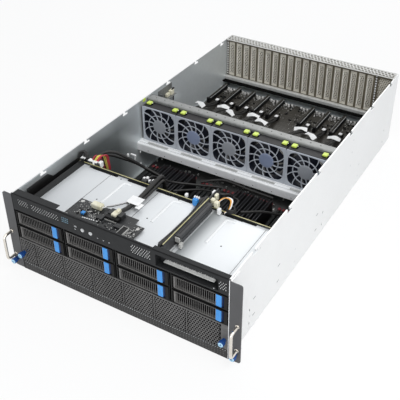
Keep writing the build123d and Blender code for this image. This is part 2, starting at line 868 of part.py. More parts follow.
# Riser card on edge, its slot shroud and foot, and the perforated bracket in the front window
with BuildPart() as riser_card:
    riser_front = front + riser_depths[0]
    riser_back = front + riser_depths[1]
    with BuildSketch(Plane.YZ.offset(riser_x - board_sheet / 2)):
        span((riser_front, riser_back), (riser_tail_low, riser_high))
        span((riser_front, front + riser_tail_depth), (riser_low, riser_high))
    extrude(amount=board_sheet)
    with BuildSketch(upright(front + shroud_depths[0])):
        shroud_left = riser_x + board_sheet / 2
        shroud_middle = (shroud_low + shroud_high) / 2
        span((shroud_left, shroud_left + shroud_width), (shroud_low, shroud_high))
        span(
            (shroud_left + shroud_width / 3, shroud_left + shroud_width),
            (shroud_middle - shroud_slot / 2, shroud_middle + shroud_slot / 2),
            mode=Mode.SUBTRACT,
        )
    extrude(amount=shroud_depths[0] - shroud_depths[1])
    with BuildSketch(upright(front + riser_foot_depths[0])):
        foot_right = riser_x - board_sheet / 2 - seat_gap
        span((foot_right - sheet, foot_right), (cage_top, cage_top + riser_foot_height))
        span((foot_right - riser_foot_width, foot_right), (cage_top, cage_top + sheet))
    extrude(amount=riser_foot_depths[0] - riser_foot_depths[1])
    bracket_y = front + card_recess_depth + panel_sheet + seat_gap
    with BuildSketch(upright(bracket_y)):
        span(
            (card_bracket[0] - panel_sheet, card_bracket[1] + panel_sheet),
            (card_bracket_low - panel_sheet, card_bracket_high + panel_sheet),
        )
    extrude(amount=-cover_sheet)
    with BuildSketch(upright(bracket_y)):
        window_grid(
            (card_bracket[0] + vent_web, card_bracket[1] - vent_web),
            (card_bracket_low + vent_web, card_bracket_high - vent_web),
            card_bracket_slots,
            1,
            vent_web,
        )
    extrude(amount=-cover_sheet, mode=Mode.SUBTRACT)
riser_card.part.label = "riser_card"
export_step(riser_card.part, "parts/riser_card.step")

# Fan cage: shelf with front and rear lips, posts between the fans, cross beam, and a clip on the left wall
fan_xs = [fan_pitch * (i - (fan_count - 1) / 2) for i in range(fan_count)]
fan_front = front + fan_front_depth
fan_bottom = shelf_height + slide_gap
fan_centre_z = fan_bottom + fan_centre_rise
beam_front = front + beam_front_depth
beam_rear = front + beam_rear_depth
beam_height = hem_bottom - beam_drop
with BuildPart() as fan_cage:
    with BuildSketch(Plane.YZ.offset(-inner)):
        shelf_front = front + shelf_front_depth
        shelf_rear = front + shelf_rear_depth
        span((shelf_front, shelf_rear), (shelf_height - sheet, shelf_height))
        span((shelf_front, shelf_front + sheet), (shelf_height - shelf_lip, shelf_height))
        span((shelf_rear - sheet, shelf_rear), (shelf_height - shelf_lip / 2, shelf_height))
        span((beam_front, beam_rear), (beam_height - sheet, beam_height))
        span((beam_front, beam_front + sheet), (beam_height - beam_leg, beam_height))
        span((beam_rear - sheet, beam_rear), (beam_height - beam_leg, beam_height))
    extrude(amount=2 * inner)
    for i in range(fan_count + 1):
        post_x = fan_pitch * (i - fan_count / 2) - post_sheet / 2
        with BuildSketch(Plane.YZ.offset(post_x)):
            span((fan_front + guard_sheet, beam_front), (shelf_height, post_height))
            span((beam_front, beam_rear), (shelf_height, beam_height - sheet))
        extrude(amount=post_sheet)
    with BuildSketch(Plane.YZ.offset(-inner + seat_gap)):
        span((front + clip_depths[0], front + clip_depths[1]), clip_heights)
    extrude(amount=sheet)
    with BuildSketch(Plane.YZ.offset(-inner + seat_gap)):
        span((front + clip_depths[0], front + clip_depths[1]), (clip_heights[0], clip_heights[0] + sheet))
    extrude(amount=clip_width)
fan_cage.part.label = "fan_cage"
export_step(fan_cage.part, "parts/fan_cage.step")

# Fan module, drawn about the middle of the wall. The guard's spokes lean outwards from the hub, cross a ring
# and sweep on to the opening. Behind it the motor stands on four arms and carries the rotor on its shaft
hub_front = fan_front + guard_sheet + slide_gap
hub_back = hub_front + hub_length
motor_front = hub_back + slide_gap


def polar_point(radius, angle):
    """A point at a radius and an angle in degrees about the fan's axis."""
    return (radius * cos(radians(angle)), radius * sin(radians(angle)))


with BuildSketch() as guard_spoke:
    with BuildLine():
        Line(
            polar_point(guard_hub_radius - guard_spoke_width, 0),
            polar_point(guard_spoke_reach, guard_spoke_sweep),
        )
    trace(line_width=guard_spoke_width)

with BuildSketch() as fan_mouth:
    Rectangle(fan_opening, fan_opening)
    chamfer(fan_mouth.vertices(), fan_opening_corner)

with BuildPart() as fan_form:
    with BuildSketch(upright(fan_front)):
        with Locations((0, fan_bottom + fan_height / 2)):
            Rectangle(fan_width, fan_height)
        with Locations((0, fan_centre_z)):
            add(fan_mouth.sketch, mode=Mode.SUBTRACT)
    extrude(amount=-fan_depth)
    with BuildSketch(upright(fan_front)):
        with Locations((0, fan_centre_z)):
            RegularPolygon(guard_ring_radius + guard_ring_width / 2, guard_spokes)
            RegularPolygon(guard_ring_radius - guard_ring_width / 2, guard_spokes, mode=Mode.SUBTRACT)
            with PolarLocations(0, guard_spokes):
                add(guard_spoke.sketch)
            RegularPolygon(guard_hub_radius, guard_spokes)
            Rectangle(fan_width - guard_sheet, fan_width - guard_sheet, mode=Mode.INTERSECT)
    extrude(amount=-guard_sheet)
    with BuildSketch(upright(motor_front)):
        with Locations((0, fan_centre_z)):
            with PolarLocations(fan_opening / 4, 4):
                Rectangle(fan_opening / 2 + motor_arm_width, motor_arm_width)
            RegularPolygon(hub_radius, guard_spokes)
    extrude(amount=-(fan_front + fan_depth - motor_front))
    with BuildSketch(upright(motor_front - shaft_length)):
        with Locations((0, fan_centre_z)):
            RegularPolygon(shaft_radius, pin_sides)
    extrude(amount=-shaft_length)
    with BuildSketch(Plane.XY.offset(fan_bottom + fan_height)):
        for hand in (-1, 1):
            span(
                (hand * tab_x - tab_width / 2, hand * tab_x + tab_width / 2),
                (fan_front + tab_depths[0], fan_front + tab_depths[1]),
            )
    extrude(amount=tab_height)

# Rotor: a hub with a blind shaft bore, and cambered blades set at a pitch round it
with BuildSketch() as blade_profile:
    with BuildLine():
        Polyline(
            (-blade_chord / 2, 0),
            (-blade_chord / 6, blade_camber),
            (blade_chord / 6, blade_camber),
            (blade_chord / 2, 0),
        )
    trace(line_width=blade_sheet)

with BuildPart() as rotor_form:
    with BuildSketch(upright(hub_front)):
        with Locations((0, fan_centre_z)):
            RegularPolygon(hub_radius, 3 * blade_count)
    extrude(amount=-hub_length)
    with BuildSketch(upright(motor_front - shaft_length - slide_gap)):
        with Locations((0, fan_centre_z)):
            RegularPolygon(shaft_radius + shaft_fit, pin_sides, major_radius=False)
    extrude(amount=-(shaft_length + slide_gap), mode=Mode.SUBTRACT)
    blade_y = hub_front + hub_length / 2
    for i in range(blade_count):
        across, up = polar_point(hub_radius - blade_sheet, 360 * i / blade_count)
        blade_plane = Plane((across, blade_y, fan_centre_z + up), x_dir=(0, 1, 0), z_dir=(across, 0, up))
        with BuildSketch(blade_plane):
            add(blade_profile.sketch, rotation=90 - blade_pitch)
        extrude(amount=blade_radius - hub_radius + blade_sheet)

for number, x in enumerate(fan_xs, start=1):
    with BuildPart() as fan_module:
        with Locations((x, 0, 0)):
            add(fan_form.part)
    fan_module.part.label = f"fan_module_{number}"
    export_step(fan_module.part, f"parts/fan_module_{number}.step")
    with BuildPart() as fan_rotor:
        with Locations((x, 0, 0)):
            add(rotor_form.part)
    fan_rotor.part.label = f"fan_rotor_{number}"
    export_step(fan_rotor.part, f"parts/fan_rotor_{number}.step")

# Main board with processor sockets, memory sockets and modules, and the two finned coolers
with BuildPart() as main_board:
    board_front = front + main_board_depths[0]
    with BuildSketch(Plane.XY.offset(main_board_height)):
        span((-main_board_width / 2, main_board_width / 2), (board_front, front + main_board_depths[1]))
    extrude(amount=board_sheet)
    main_top = main_board_height + board_sheet
    memory_middle = front + memory_depth + memory_length / 2
    with BuildSketch(Plane.XY.offset(main_top)):
        for x in memory_group_x:
            with Locations((x, memory_middle)):
                with GridLocations(memory_pitch, 1, memory_count // 2, 1):
                    Rectangle(memory_width, memory_length)
    extrude(amount=memory_height)
    cooler_middle = front + cooler_depth + cooler_length / 2
    with BuildSketch(Plane.XY.offset(main_top)):
        with Locations((-cooler_x, cooler_middle), (cooler_x, cooler_middle)):
            Rectangle(socket_size, cooler_length)
    extrude(amount=socket_height)
main_board.part.label = "main_board"
export_step(main_board.part, "parts/main_board.step")

with BuildPart() as coolers:
    cooler_bottom = main_top + socket_height + seat_gap
    with BuildSketch(upright(front + cooler_depth)):
        for x in (-cooler_x, cooler_x):
            span((x - cooler_width / 2, x + cooler_width / 2), (cooler_bottom, cooler_bottom + cooler_base))
            fin_height = cooler_height - cooler_base
            fin_pitch = (cooler_width - cooler_fin_sheet) / (cooler_fins - 1)
            with Locations((x, cooler_bottom + cooler_base + fin_height / 2)):
                with GridLocations(fin_pitch, 1, cooler_fins, 1):
                    Rectangle(cooler_fin_sheet, fin_height)
    extrude(amount=-cooler_length)
coolers.part.label = "coolers"
export_step(coolers.part, "parts/coolers.step")

# Switch board: long card slots with keyed grooves, with power and cable sockets beside them
slot_xs = [slot_first_x + slot_pitch * place for place in slot_places]
slot_middle = front + slot_rear_depth - slot_length / 2
with BuildPart() as switch_board:
    switch_top = switch_board_height + board_sheet
    with BuildSketch(Plane.XY.offset(switch_board_height)):
        span((-switch_board_width / 2, switch_board_width / 2), (switch_board_front, switch_board_rear))
    extrude(amount=board_sheet)
    with BuildSketch(Plane.XY.offset(switch_top)):
        with Locations(*[(x, slot_middle) for x in slot_xs]):
            Rectangle(slot_width, slot_length)
    extrude(amount=slot_height)
    with BuildSketch(Plane.XY.offset(switch_top + slot_height - slot_key_depth)):
        with Locations(*[(x, slot_middle) for x in slot_xs]):
            Rectangle(slot_key, slot_length - slot_width)
    extrude(amount=slot_key_depth, mode=Mode.SUBTRACT)
    with BuildSketch(Plane.XY.offset(switch_top)):
        with Locations(*[(x + power_socket_shift, front + power_socket_depth) for x in slot_xs]):
            Rectangle(power_socket_size, power_socket_size)
        with Locations(*[(x + power_socket_shift, front + cable_socket_depth) for x in slot_xs]):
            Rectangle(cable_width, power_socket_size)
    extrude(amount=power_socket_size)
switch_board.part.label = "switch_board"
export_step(switch_board.part, "parts/switch_board.step")

# Supply module: case with a barred fan opening and a power inlet, pull handle and release latch
supply_middle_z = supply_floor + supply_height / 2
with BuildPart() as supply_form:
    with BuildSketch(upright(supply_front)):
        with Locations((0, supply_middle_z)):
            Rectangle(supply_width, supply_height)
    extrude(amount=-supply_length)
    with BuildSketch(upright(rear - inlet_depth)):
        with Locations((supply_width / 4, supply_middle_z)):
            Rectangle(inlet_width, inlet_height)
    extrude(amount=-inlet_depth, mode=Mode.SUBTRACT)
    with BuildSketch(upright(rear - 2 * sheet)):
        with Locations((-supply_width / 4, supply_middle_z)):
            with GridLocations(2 * supply_fan_radius / supply_fan_bars, 1, supply_fan_bars, 1):
                Rectangle(supply_fan_radius / supply_fan_bars, 2 * supply_fan_radius)
    extrude(amount=-2 * sheet, mode=Mode.SUBTRACT)
    with BuildSketch(Plane.XY.offset(supply_middle_z - supply_handle_height / 2)):
        handle_edge = -supply_width / 4 - supply_handle_width / 2
        with BuildLine():
            Polyline(
                (handle_edge, rear),
                (handle_edge + supply_handle_bend, rear + supply_handle_reach),
                (handle_edge + supply_handle_width - supply_handle_bend, rear + supply_handle_reach),
                (handle_edge + supply_handle_width, rear),
            )
            offset(amount=supply_handle_sheet, side=Side.RIGHT)
        make_face()
    extrude(amount=supply_handle_height)
    with BuildSketch(upright(rear)):
        span(
            (supply_width / 2 - supply_latch_width, supply_width / 2),
            (supply_floor + supply_height - supply_latch_height, supply_floor + supply_height),
        )
    extrude(amount=-supply_latch_reach, taper=8)

for number, x in enumerate(supply_xs, start=1):
    with BuildPart() as power_supply:
        with Locations((x, 0, 0)):
            add(supply_form.part)
    power_supply.part.label = f"power_supply_{number}"
    export_step(power_supply.part, f"parts/power_supply_{number}.step")


def cable(points, profile, bend):
    """A cable along points, its corners rounded, with the given profile square to its first run."""
    with BuildPart() as run:
        with BuildLine() as route:
            FilletPolyline(*points, radius=bend)
        with BuildSketch(Plane(points[0], z_dir=route.line % 0)):
            add(profile)
        sweep(transition=Transition.ROUND)
    return run.part


def from_front(route):
    """A route's points with their depths turned into places along Y."""
    return [(x, front + depth, z) for x, depth, z in route]


# Cables: a flat bundle from each power socket over the switch board, the control board's lead over the cage
# and down behind it, and the wire that drops from the riser's tail
with BuildSketch() as bundle_profile:
    Rectangle(cable_width, cable_sheet)
with BuildSketch() as lead_profile:
    RegularPolygon(lead_radius, lead_sides)
with BuildSketch() as riser_wire_profile:
    RegularPolygon(riser_wire_radius, lead_sides)
with BuildPart() as cables:
    socket_top = switch_top + power_socket_size
    bundle_route = (
        (0, cable_socket_depth, socket_top),
        (0, cable_socket_depth, socket_top + cable_crest_rise),
        (0, cable_end_depth, switch_top + cable_sheet),
    )
    with Locations(*[(x + power_socket_shift, 0, 0) for x in slot_xs]):
        add(cable(from_front(bundle_route), bundle_profile.sketch, cable_bend))
    add(cable(from_front(lead_route), lead_profile.sketch, lead_bend))
    add(cable(from_front(riser_wire_route), riser_wire_profile.sketch, riser_wire_bend))
cables.part.label = "cables"
export_step(cables.part, "parts/cables.step")
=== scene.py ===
"""Looks of a rack server, four rack units high and open on top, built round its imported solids.

Points are worked out in millimetres, with x across, y from front to rear and z up, and put into the
meshes in metres."""

import math

import bpy
import numpy as np
from mathutils import Matrix, Vector


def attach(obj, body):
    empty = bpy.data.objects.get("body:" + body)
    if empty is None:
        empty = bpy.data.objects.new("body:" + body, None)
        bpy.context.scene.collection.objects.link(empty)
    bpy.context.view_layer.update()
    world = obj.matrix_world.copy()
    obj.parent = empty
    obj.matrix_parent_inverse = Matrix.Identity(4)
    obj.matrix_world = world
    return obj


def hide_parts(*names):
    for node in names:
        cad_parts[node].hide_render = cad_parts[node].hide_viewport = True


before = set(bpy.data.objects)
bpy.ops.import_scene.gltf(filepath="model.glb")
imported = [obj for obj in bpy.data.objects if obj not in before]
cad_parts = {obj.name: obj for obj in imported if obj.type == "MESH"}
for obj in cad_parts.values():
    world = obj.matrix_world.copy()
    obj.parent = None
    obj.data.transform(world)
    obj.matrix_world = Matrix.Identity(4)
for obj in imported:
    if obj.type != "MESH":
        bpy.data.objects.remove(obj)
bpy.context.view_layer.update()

MM = 0.001
FRONT = -400
ROW = 4
BAYS = 8
FANS = 5
SUPPLIES = 4


# Shader tools


def both_ways(operation):
    """An operator and its reflected form: each adds a Math node, with the two sides in their order."""
    return (
        lambda left, right: left.owner.maths(operation, left, right),
        lambda right, left: right.owner.maths(operation, left, right),
    )


class Wire:
    """The output of a shader node. Arithmetic on it adds the Math node that works the value out."""

    def __init__(self, owner, socket):
        self.owner = owner
        self.socket = socket

    __add__, __radd__ = both_ways("ADD")
    __sub__, __rsub__ = both_ways("SUBTRACT")
    __mul__, __rmul__ = both_ways("MULTIPLY")
    __truediv__, __rtruediv__ = both_ways("DIVIDE")
    __gt__, __lt__ = both_ways("GREATER_THAN")[0], both_ways("LESS_THAN")[0]


class Nodes:
    """A node tree, and the one way in which a node is added to it."""

    def __init__(self, tree):
        self.tree = tree

    def node(self, kind, settings=None, values=None, out=0):
        """A node of one kind: its settings come first, then the values or links of its sockets."""
        made = self.tree.nodes.new(kind)
        for key, value in (settings or {}).items():
            setattr(made, key, value)
        for key, value in (values or {}).items():
            self.feed(made.inputs[key], value)
        return Wire(self, made.outputs[out])

    def feed(self, socket, value):
        """Links a wire to the socket, or sets the socket to a value."""
        if isinstance(value, Wire):
            self.tree.links.new(value.socket, socket)
        else:
            socket.default_value = value

    def maths(self, operation, first, second):
        """The operation on two values or wires."""
        return self.node("ShaderNodeMath", {"operation": operation}, {0: first, 1: second})

    def held(self, value):
        """The value kept between 0 and 1."""
        return self.node("ShaderNodeClamp", None, {"Value": value})

    def size(self, value):
        """The value without its sign."""
        return self.maths("ABSOLUTE", value, 0)

    def seen_directly(self):
        """1 for what the camera sees, straight or in gloss or glass, and 0 for the light on things."""
        rays = [f"Is {kind} Ray" for kind in ("Camera", "Glossy", "Transmission")]
        camera, gloss, glass = (self.node("ShaderNodeLightPath", out=ray) for ray in rays)
        return self.held(camera + gloss + glass)

    def show(self, factor, first, second, output):
        """Sends the mix of two shaders to the tree's output."""
        mix = self.node("ShaderNodeMixShader", None, {0: factor, 1: first, 2: second})
        self.feed(self.tree.nodes[output].inputs["Surface"], mix)


class Finish(Nodes):
    """A surface finish: a Principled shader and the nodes that feed it, kept by its name."""

    kept = {}

    def __init__(self, name, **constants):
        self.material = bpy.data.materials.new(name)
        self.material.use_nodes = True
        super().__init__(self.material.node_tree)
        self.shader = self.tree.nodes["Principled BSDF"]
        for socket, value in constants.items():
            self.shader.inputs[socket.replace("_", " ").title().replace("Ior", "IOR")].default_value = value
        self.place = self.node("ShaderNodeTexCoord", out="Object")
        Finish.kept[name] = self

    def axes(self):
        """The place on the object along x, y and z, in metres."""
        return [
            self.node("ShaderNodeSeparateXYZ", None, {0: self.place}, out=letter)
            for letter in range(3)
        ]

    def stretched(self, scale):
        """The place on the object, with each axis scaled, for patterns that run one way."""
        return self.node("ShaderNodeMapping", None, {"Vector": self.place, "Scale": scale})

    def noise(self, scale, detail=3, stretch=None):
        """Soft noise between 0 and 1, drawn out along an axis where stretch scales it down."""
        where = self.stretched(stretch) if stretch else self.place
        values = {"Vector": where, "Scale": scale, "Detail": detail, "Roughness": 0.55}
        return self.node("ShaderNodeTexNoise", None, values)

    def cells(self, scale, out="Distance"):
        """A pattern of cells: the distance to the nearest cell's point, or another of its outputs."""
        return self.node("ShaderNodeTexVoronoi", None, {"Vector": self.place, "Scale": scale}, out)

    def by_cell(self, scale):
        """A shade of its own for each cell of a pattern."""
        return self.node("ShaderNodeSeparateColor", None, {0: self.cells(scale, "Color")})

    def blend(self, factor, first, second):
        """A colour between two, the second where the factor is 1."""
        first, second = (end if isinstance(end, Wire) else rgba(end) for end in (first, second))
        return self.node("ShaderNodeMix", {"data_type": "RGBA"}, {"Factor": factor, 6: first, 7: second}, 2)

    def paint(self, colour, roughness, metallic=None, height=None, depth=0.0002, strength=0.4):
        """Links what varies over the surface to the shader."""
        inputs = self.shader.inputs
        self.feed(inputs["Base Color"], colour)
        self.feed(inputs["Roughness"], roughness)
        if metallic is not None:
            self.feed(inputs["Metallic"], metallic)
        if height is not None:
            bump = {"Height": height, "Distance": depth, "Strength": strength}
            self.feed(inputs["Normal"], self.node("ShaderNodeBump", None, bump))


def rgba(colour):
    """The colour, with an alpha of 1 where it has none."""
    return (*colour, 1) if len(colour) == 3 else tuple(colour)


# Finishes


def zinc_sheet(name, light, dark, rough=0.36, metal=0.8):
    """Galvanised sheet: faint crystal cells, a fine rolled grain along the length and handling marks."""
    made = Finish(name, metallic=metal)
    crystal = made.by_cell(160)
    rolled = made.noise(60, 4, stretch=(30, 1.5, 30))
    marks = made.noise(7, 5)
    mottle = made.held(0.42 * crystal + 0.3 * rolled + 0.5 * marks - 0.1)
    colour = made.blend(mottle, dark, light)
    roughness = made.held(rough - 0.05 + 0.12 * marks + 0.05 * crystal)
    made.paint(colour, roughness, height=rolled * 0.6 + crystal * 0.4, depth=0.00004, strength=0.3)


def case_sheet(name):
    """The case's zinc: pale and even outside, and glossy on the inner faces, which carry a patch of painted
    shade and painted reflection of the dark inside that fades towards the top edge, with painted shade
    along the cut front edge behind the panel."""
    made = Finish(name)
    x, y, z = made.axes()
    outside = made.size(x) > 0.2195
    hem = z > 0.1738
    painted_edge_shade = y < -0.3975
    spangle = made.by_cell(140)
    rolled = made.noise(60, 4, stretch=(30, 1.5, 30))
    marks = made.noise(5, 5)
    # painted shade and painted reflection: a dark patch on the inner faces, lighter towards the top edge
    painted_shade = made.held(1.9 - made.size(y + 0.165) / 0.08) * made.held(0.3 + (0.172 - z) / 0.045)
    shaded = made.blend(painted_shade * 0.88, (0.72, 0.76, 0.77), (0.085, 0.098, 0.096))
    worn = made.held(0.25 * spangle + 0.3 * rolled + 0.6 * marks - 0.1)
    inner = made.blend(worn * 0.25, shaded, (0.3, 0.32, 0.32))
    outer = made.blend(made.held(0.12 * spangle + 0.9 * marks - 0.1), (0.8, 0.8, 0.79), (0.88, 0.88, 0.87))
    skin = made.blend(made.held(outside + hem), inner, outer)
    # painted shade: the cut front edge behind the panel is painted near black
    colour = made.blend(painted_edge_shade, skin, (0.035, 0.035, 0.036))
    metallic = made.held(0.45 - 0.35 * outside - 0.2 * hem)
    roughness = made.held(0.3 + 0.22 * outside + 0.1 * marks)
    made.paint(colour, roughness, metallic, rolled * 0.6 + spangle * 0.4, 0.00003, 0.25)


def cage_sheet(name):
    """The drive cage: a pale lid with painted light that grows towards the right and painted shade just
    right of the riser, a black guide along the left wall, and black below the lid, where the dividers
    show at the front."""
    made = Finish(name)
    x, y, z = made.axes()
    marks = made.noise(6, 4)
    rolled = made.noise(60, 4, stretch=(30, 1.5, 30))
    pale = made.blend(made.held(marks * 0.9 + rolled * 0.2 - 0.1), (0.57, 0.59, 0.605), (0.73, 0.75, 0.76))
    # painted light: the lid grows brighter towards the right
    pale = made.blend(made.held((x + 0.16) / 0.32) * 0.5, pale, (0.82, 0.84, 0.85))
    # painted shade: the lid is greyed just to the right of the riser
    painted_shade = (x > 0.0925) * made.held(1 - (x - 0.0925) / 0.036)
    lid = made.blend(painted_shade * 0.75, pale, (0.16, 0.18, 0.185))
    guide = (x < -0.1995) * (z > 0.1412)
    below = z < 0.1398
    colour = made.blend(made.held(guide + below), lid, (0.003, 0.003, 0.003))
    metallic = made.held(0.3 - 0.3 * (guide + below))
    made.paint(colour, made.held(0.38 + 0.15 * marks), metallic, rolled, 0.00003, 0.25)


def powder_coat(name, colour, lift, rough=0.55):
    """Powder paint: a fine orange-peel skin with faint dust and rubbed patches."""
    made = Finish(name, specular_ior_level=0.22)
    peel = made.noise(1500, 2)
    dust = made.noise(14, 5)
    rub = made.noise(90, 3, stretch=(1, 0.3, 2))
    shaded = made.blend(made.held(dust * 0.7 + rub * 0.5 - 0.15), colour, lift)
    roughness = made.held(rough - 0.1 + 0.16 * dust + 0.08 * peel)
    made.paint(shaded, roughness, height=peel, depth=0.00006, strength=0.35)


def ear_sheet(name):
    """The ears: black powder on the plates, and the case's bare zinc where they fold back at the walls."""
    made = Finish(name, specular_ior_level=0.25)
    y = made.axes()[1]
    dust = made.noise(14, 5)
    peel = made.noise(1500, 2)
    paint = made.blend(made.held(0.9 * dust - 0.1), (0.07, 0.07, 0.072), (0.115, 0.115, 0.118))
    bare = made.blend(dust, (0.8, 0.8, 0.79), (0.88, 0.88, 0.87))
    colour = made.blend(y > -0.397, paint, bare)
    made.paint(colour, made.held(0.4 + 0.16 * dust), height=peel, depth=0.00006, strength=0.3)


def drive_tray(name):
    """A drive in its tray: black where it shows in the bay's mouth, and brushed cast metal behind."""
    made = Finish(name, specular_ior_level=0.3)
    x, y, z = made.axes()
    brushed = made.noise(90, 4, stretch=(1, 24, 1))
    marks = made.noise(9, 4)
    body = y > -0.368
    worn = made.held(0.6 * brushed + 0.5 * marks - 0.1)
    cast = made.blend(worn, (0.16, 0.163, 0.168), (0.3, 0.305, 0.31))
    colour = made.blend(body, (0.0015, 0.0015, 0.0015), cast)
    roughness = made.held(0.6 - 0.2 * body + 0.1 * marks)
    made.paint(colour, roughness, made.held(0.7 * body), brushed, 0.00003, 0.2)


def moulded_plastic(name, colour, lift, rough=0.42, specular=0.45):
    """Moulded plastic: a fine spark-eroded skin, flow shading and slight wear."""
    made = Finish(name, specular_ior_level=specular)
    skin = made.noise(900, 2)
    flow = made.noise(25, 3, stretch=(1, 2, 1))
    wear = made.noise(140, 4)
    shaded = made.blend(made.held(flow * 0.9 + wear * 0.3 - 0.2), colour, lift)
    roughness = made.held(rough - 0.08 + 0.14 * wear + 0.06 * skin)
    made.paint(shaded, roughness, height=skin, depth=0.00005, strength=0.3)


def circuit_board(name, mask, trace, legend):
    """A lacquered board: traces run in two directions under the lacquer, with printed marks and vias."""
    made = Finish(name, specular_ior_level=0.5)
    across = made.noise(180, 2, stretch=(0.15, 4, 1))
    along = made.noise(170, 2, stretch=(4, 0.12, 1))
    runs = made.held(((across > 0.56) + (along > 0.57)) * 0.6)
    vias = made.cells(520) < 0.16
    sparse = made.noise(55, 2) > 0.58
    cloud = made.noise(30, 3)
    under = made.blend(made.held(runs * 0.75 + cloud * 0.35 - 0.1), mask, trace)
    marked = made.blend(vias * sparse, under, legend)
    roughness = made.held(0.45 - 0.12 * runs + 0.1 * cloud)
    made.paint(marked, roughness, height=runs + vias * 0.5, depth=0.00005, strength=0.35)


def fin_metal(name, light, dark):
    """Stacked aluminium fins: fine lines across, with a thin dulled film."""
    made = Finish(name, metallic=0.85)
    fin_gap = 0.001
    comb = made.maths("PINGPONG", made.axes()[0], fin_gap) / fin_gap
    film = made.noise(30, 4)
    colour = made.blend(made.held(comb * 0.8 + film * 0.3 - 0.1), dark, light)
    made.paint(colour, made.held(0.32 + 0.2 * film), height=comb, depth=0.0004, strength=0.5)


def polished_bar(name, light, dark):
    """Bright plated bar: fine lengthwise draw marks and slight tarnish."""
    made = Finish(name, metallic=1)
    draw = made.noise(900, 3, stretch=(1, 1, 0.05))
    tarnish = made.noise(60, 4)
    colour = made.blend(made.held(tarnish * 0.8 + draw * 0.3 - 0.1), light, dark)
    made.paint(colour, made.held(0.18 + 0.14 * tarnish), height=draw, depth=0.00003, strength=0.3)


def braided_cable(name, colour, lift):
    """A cable's jacket: fine ribs and a slight bloom."""
    made = Finish(name, specular_ior_level=0.4)
    ribs = made.noise(700, 2, stretch=(3, 0.2, 1))
    bloom = made.noise(40, 4)
    shaded = made.blend(made.held(bloom * 0.8 + ribs * 0.4 - 0.2), colour, lift)
    made.paint(shaded, made.held(0.4 + 0.2 * bloom), height=ribs, depth=0.00008, strength=0.4)


def small_parts(name, colour, lift, rough=0.4, specular=0.5):
    """Tinned or moulded small parts: slight shade from part to part and a fine skin."""
    made = Finish(name, specular_ior_level=specular)
    each = made.by_cell(90)
    skin = made.noise(1100, 2)
    shaded = made.blend(made.held(each * 0.8 + skin * 0.2), colour, lift)
    made.paint(shaded, made.held(rough - 0.06 + 0.12 * each), height=skin, depth=0.00004, strength=0.3)


for row in (
    ("galvanised_steel", (0.8, 0.81, 0.8), (0.58, 0.6, 0.6)),
    ("dull_zinc", (0.34, 0.35, 0.35), (0.2, 0.21, 0.21), 0.45),
    ("deep_olive", (0.06, 0.052, 0.037), (0.035, 0.03, 0.02), 0.6, 0),
    # a darkened olive copy of the galvanised sheet, for painted shade
    ("olive_zinc", (0.21, 0.185, 0.135), (0.12, 0.105, 0.075), 0.5, 0.5),
    ("bright_zinc", (0.93, 0.93, 0.91), (0.74, 0.74, 0.72), 0.42, 0.1),
    ("beam_zinc", (0.29, 0.295, 0.29), (0.16, 0.165, 0.16), 0.42, 0.5),
    ("flange_zinc", (0.62, 0.62, 0.6), (0.38, 0.38, 0.365), 0.4, 0.3),
    ("cover_steel", (0.8, 0.76, 0.67), (0.55, 0.51, 0.43), 0.42, 0.2),
    ("supply_steel", (0.62, 0.63, 0.64), (0.42, 0.43, 0.44)),
    # shelf_zinc: a near-white, barely metallic copy of the galvanised sheet, for painted light on the shelf
    ("shelf_zinc", (0.97, 0.975, 0.98), (0.86, 0.87, 0.875), 0.4, 0.05),
):
    zinc_sheet(*row)
case_sheet("case_zinc")
cage_sheet("cage_zinc")
for row in (
    ("charcoal_paint", (0.01, 0.011, 0.012), (0.026, 0.027, 0.028)),
    ("grille_paint", (0.05, 0.049, 0.048), (0.2, 0.195, 0.19), 0.45),
    ("lip_paint", (0.022, 0.022, 0.022), (0.06, 0.059, 0.058)),
):
    powder_coat(*row)
ear_sheet("ear_paint")
for row in (
    ("riser_grey", (0.04, 0.041, 0.043), (0.075, 0.076, 0.079), 0.42, 0.25),
    ("black_plastic", (0.004, 0.004, 0.004), (0.01, 0.01, 0.011), 0.42, 0.15),
    # an almost glossless black, for black parts and for painted shade and shadow
    ("bay_black", (0.0012, 0.0012, 0.0012), (0.003, 0.003, 0.003), 0.6, 0.03),
    ("blue_plastic", (0.025, 0.22, 0.6), (0.075, 0.36, 0.82), 0.38),
    ("fan_grey", (0.36, 0.385, 0.43), (0.5, 0.53, 0.575), 0.45),
    ("blade_black", (0.005, 0.006, 0.012), (0.014, 0.017, 0.028), 0.4, 0.2),
    ("button_grey", (0.45, 0.46, 0.46), (0.62, 0.63, 0.63)),
    ("hub_grey", (0.24, 0.255, 0.28), (0.32, 0.335, 0.36), 0.45),
    ("hub_blue", (0.17, 0.21, 0.31), (0.25, 0.29, 0.41), 0.45),
    ("knob_blue", (0.004, 0.035, 0.16), (0.012, 0.085, 0.32), 0.34),
    ("knob_pale", (0.22, 0.5, 0.72), (0.55, 0.78, 0.9), 0.34),
    ("latch_navy", (0.004, 0.016, 0.07), (0.01, 0.035, 0.12), 0.38),
    ("frame_grey", (0.13, 0.125, 0.12), (0.23, 0.22, 0.21), 0.4),
    ("louvre_grey", (0.085, 0.082, 0.08), (0.17, 0.165, 0.16), 0.4, 0.2),
    ("bead_white", (0.78, 0.79, 0.79), (0.86, 0.87, 0.87), 0.35),
    ("lime_plastic", (0.52, 0.66, 0.06), (0.74, 0.88, 0.22), 0.4),
    ("fan_strip_black", (0.008, 0.008, 0.009), (0.022, 0.021, 0.023), 0.45, 0.2),
):
    moulded_plastic(*row)
polished_bar("bright_bar", (0.86, 0.83, 0.78), (0.6, 0.55, 0.48))
for row in (
    ("black_board", (0.01, 0.011, 0.012), (0.03, 0.032, 0.034), (0.55, 0.56, 0.55)),
    ("green_board", (0.004, 0.005, 0.005), (0.012, 0.015, 0.013), (0.3, 0.3, 0.27)),
    ("deck_brown", (0.024, 0.022, 0.018), (0.055, 0.05, 0.042), (0.5, 0.48, 0.44)),
):
    circuit_board(*row)
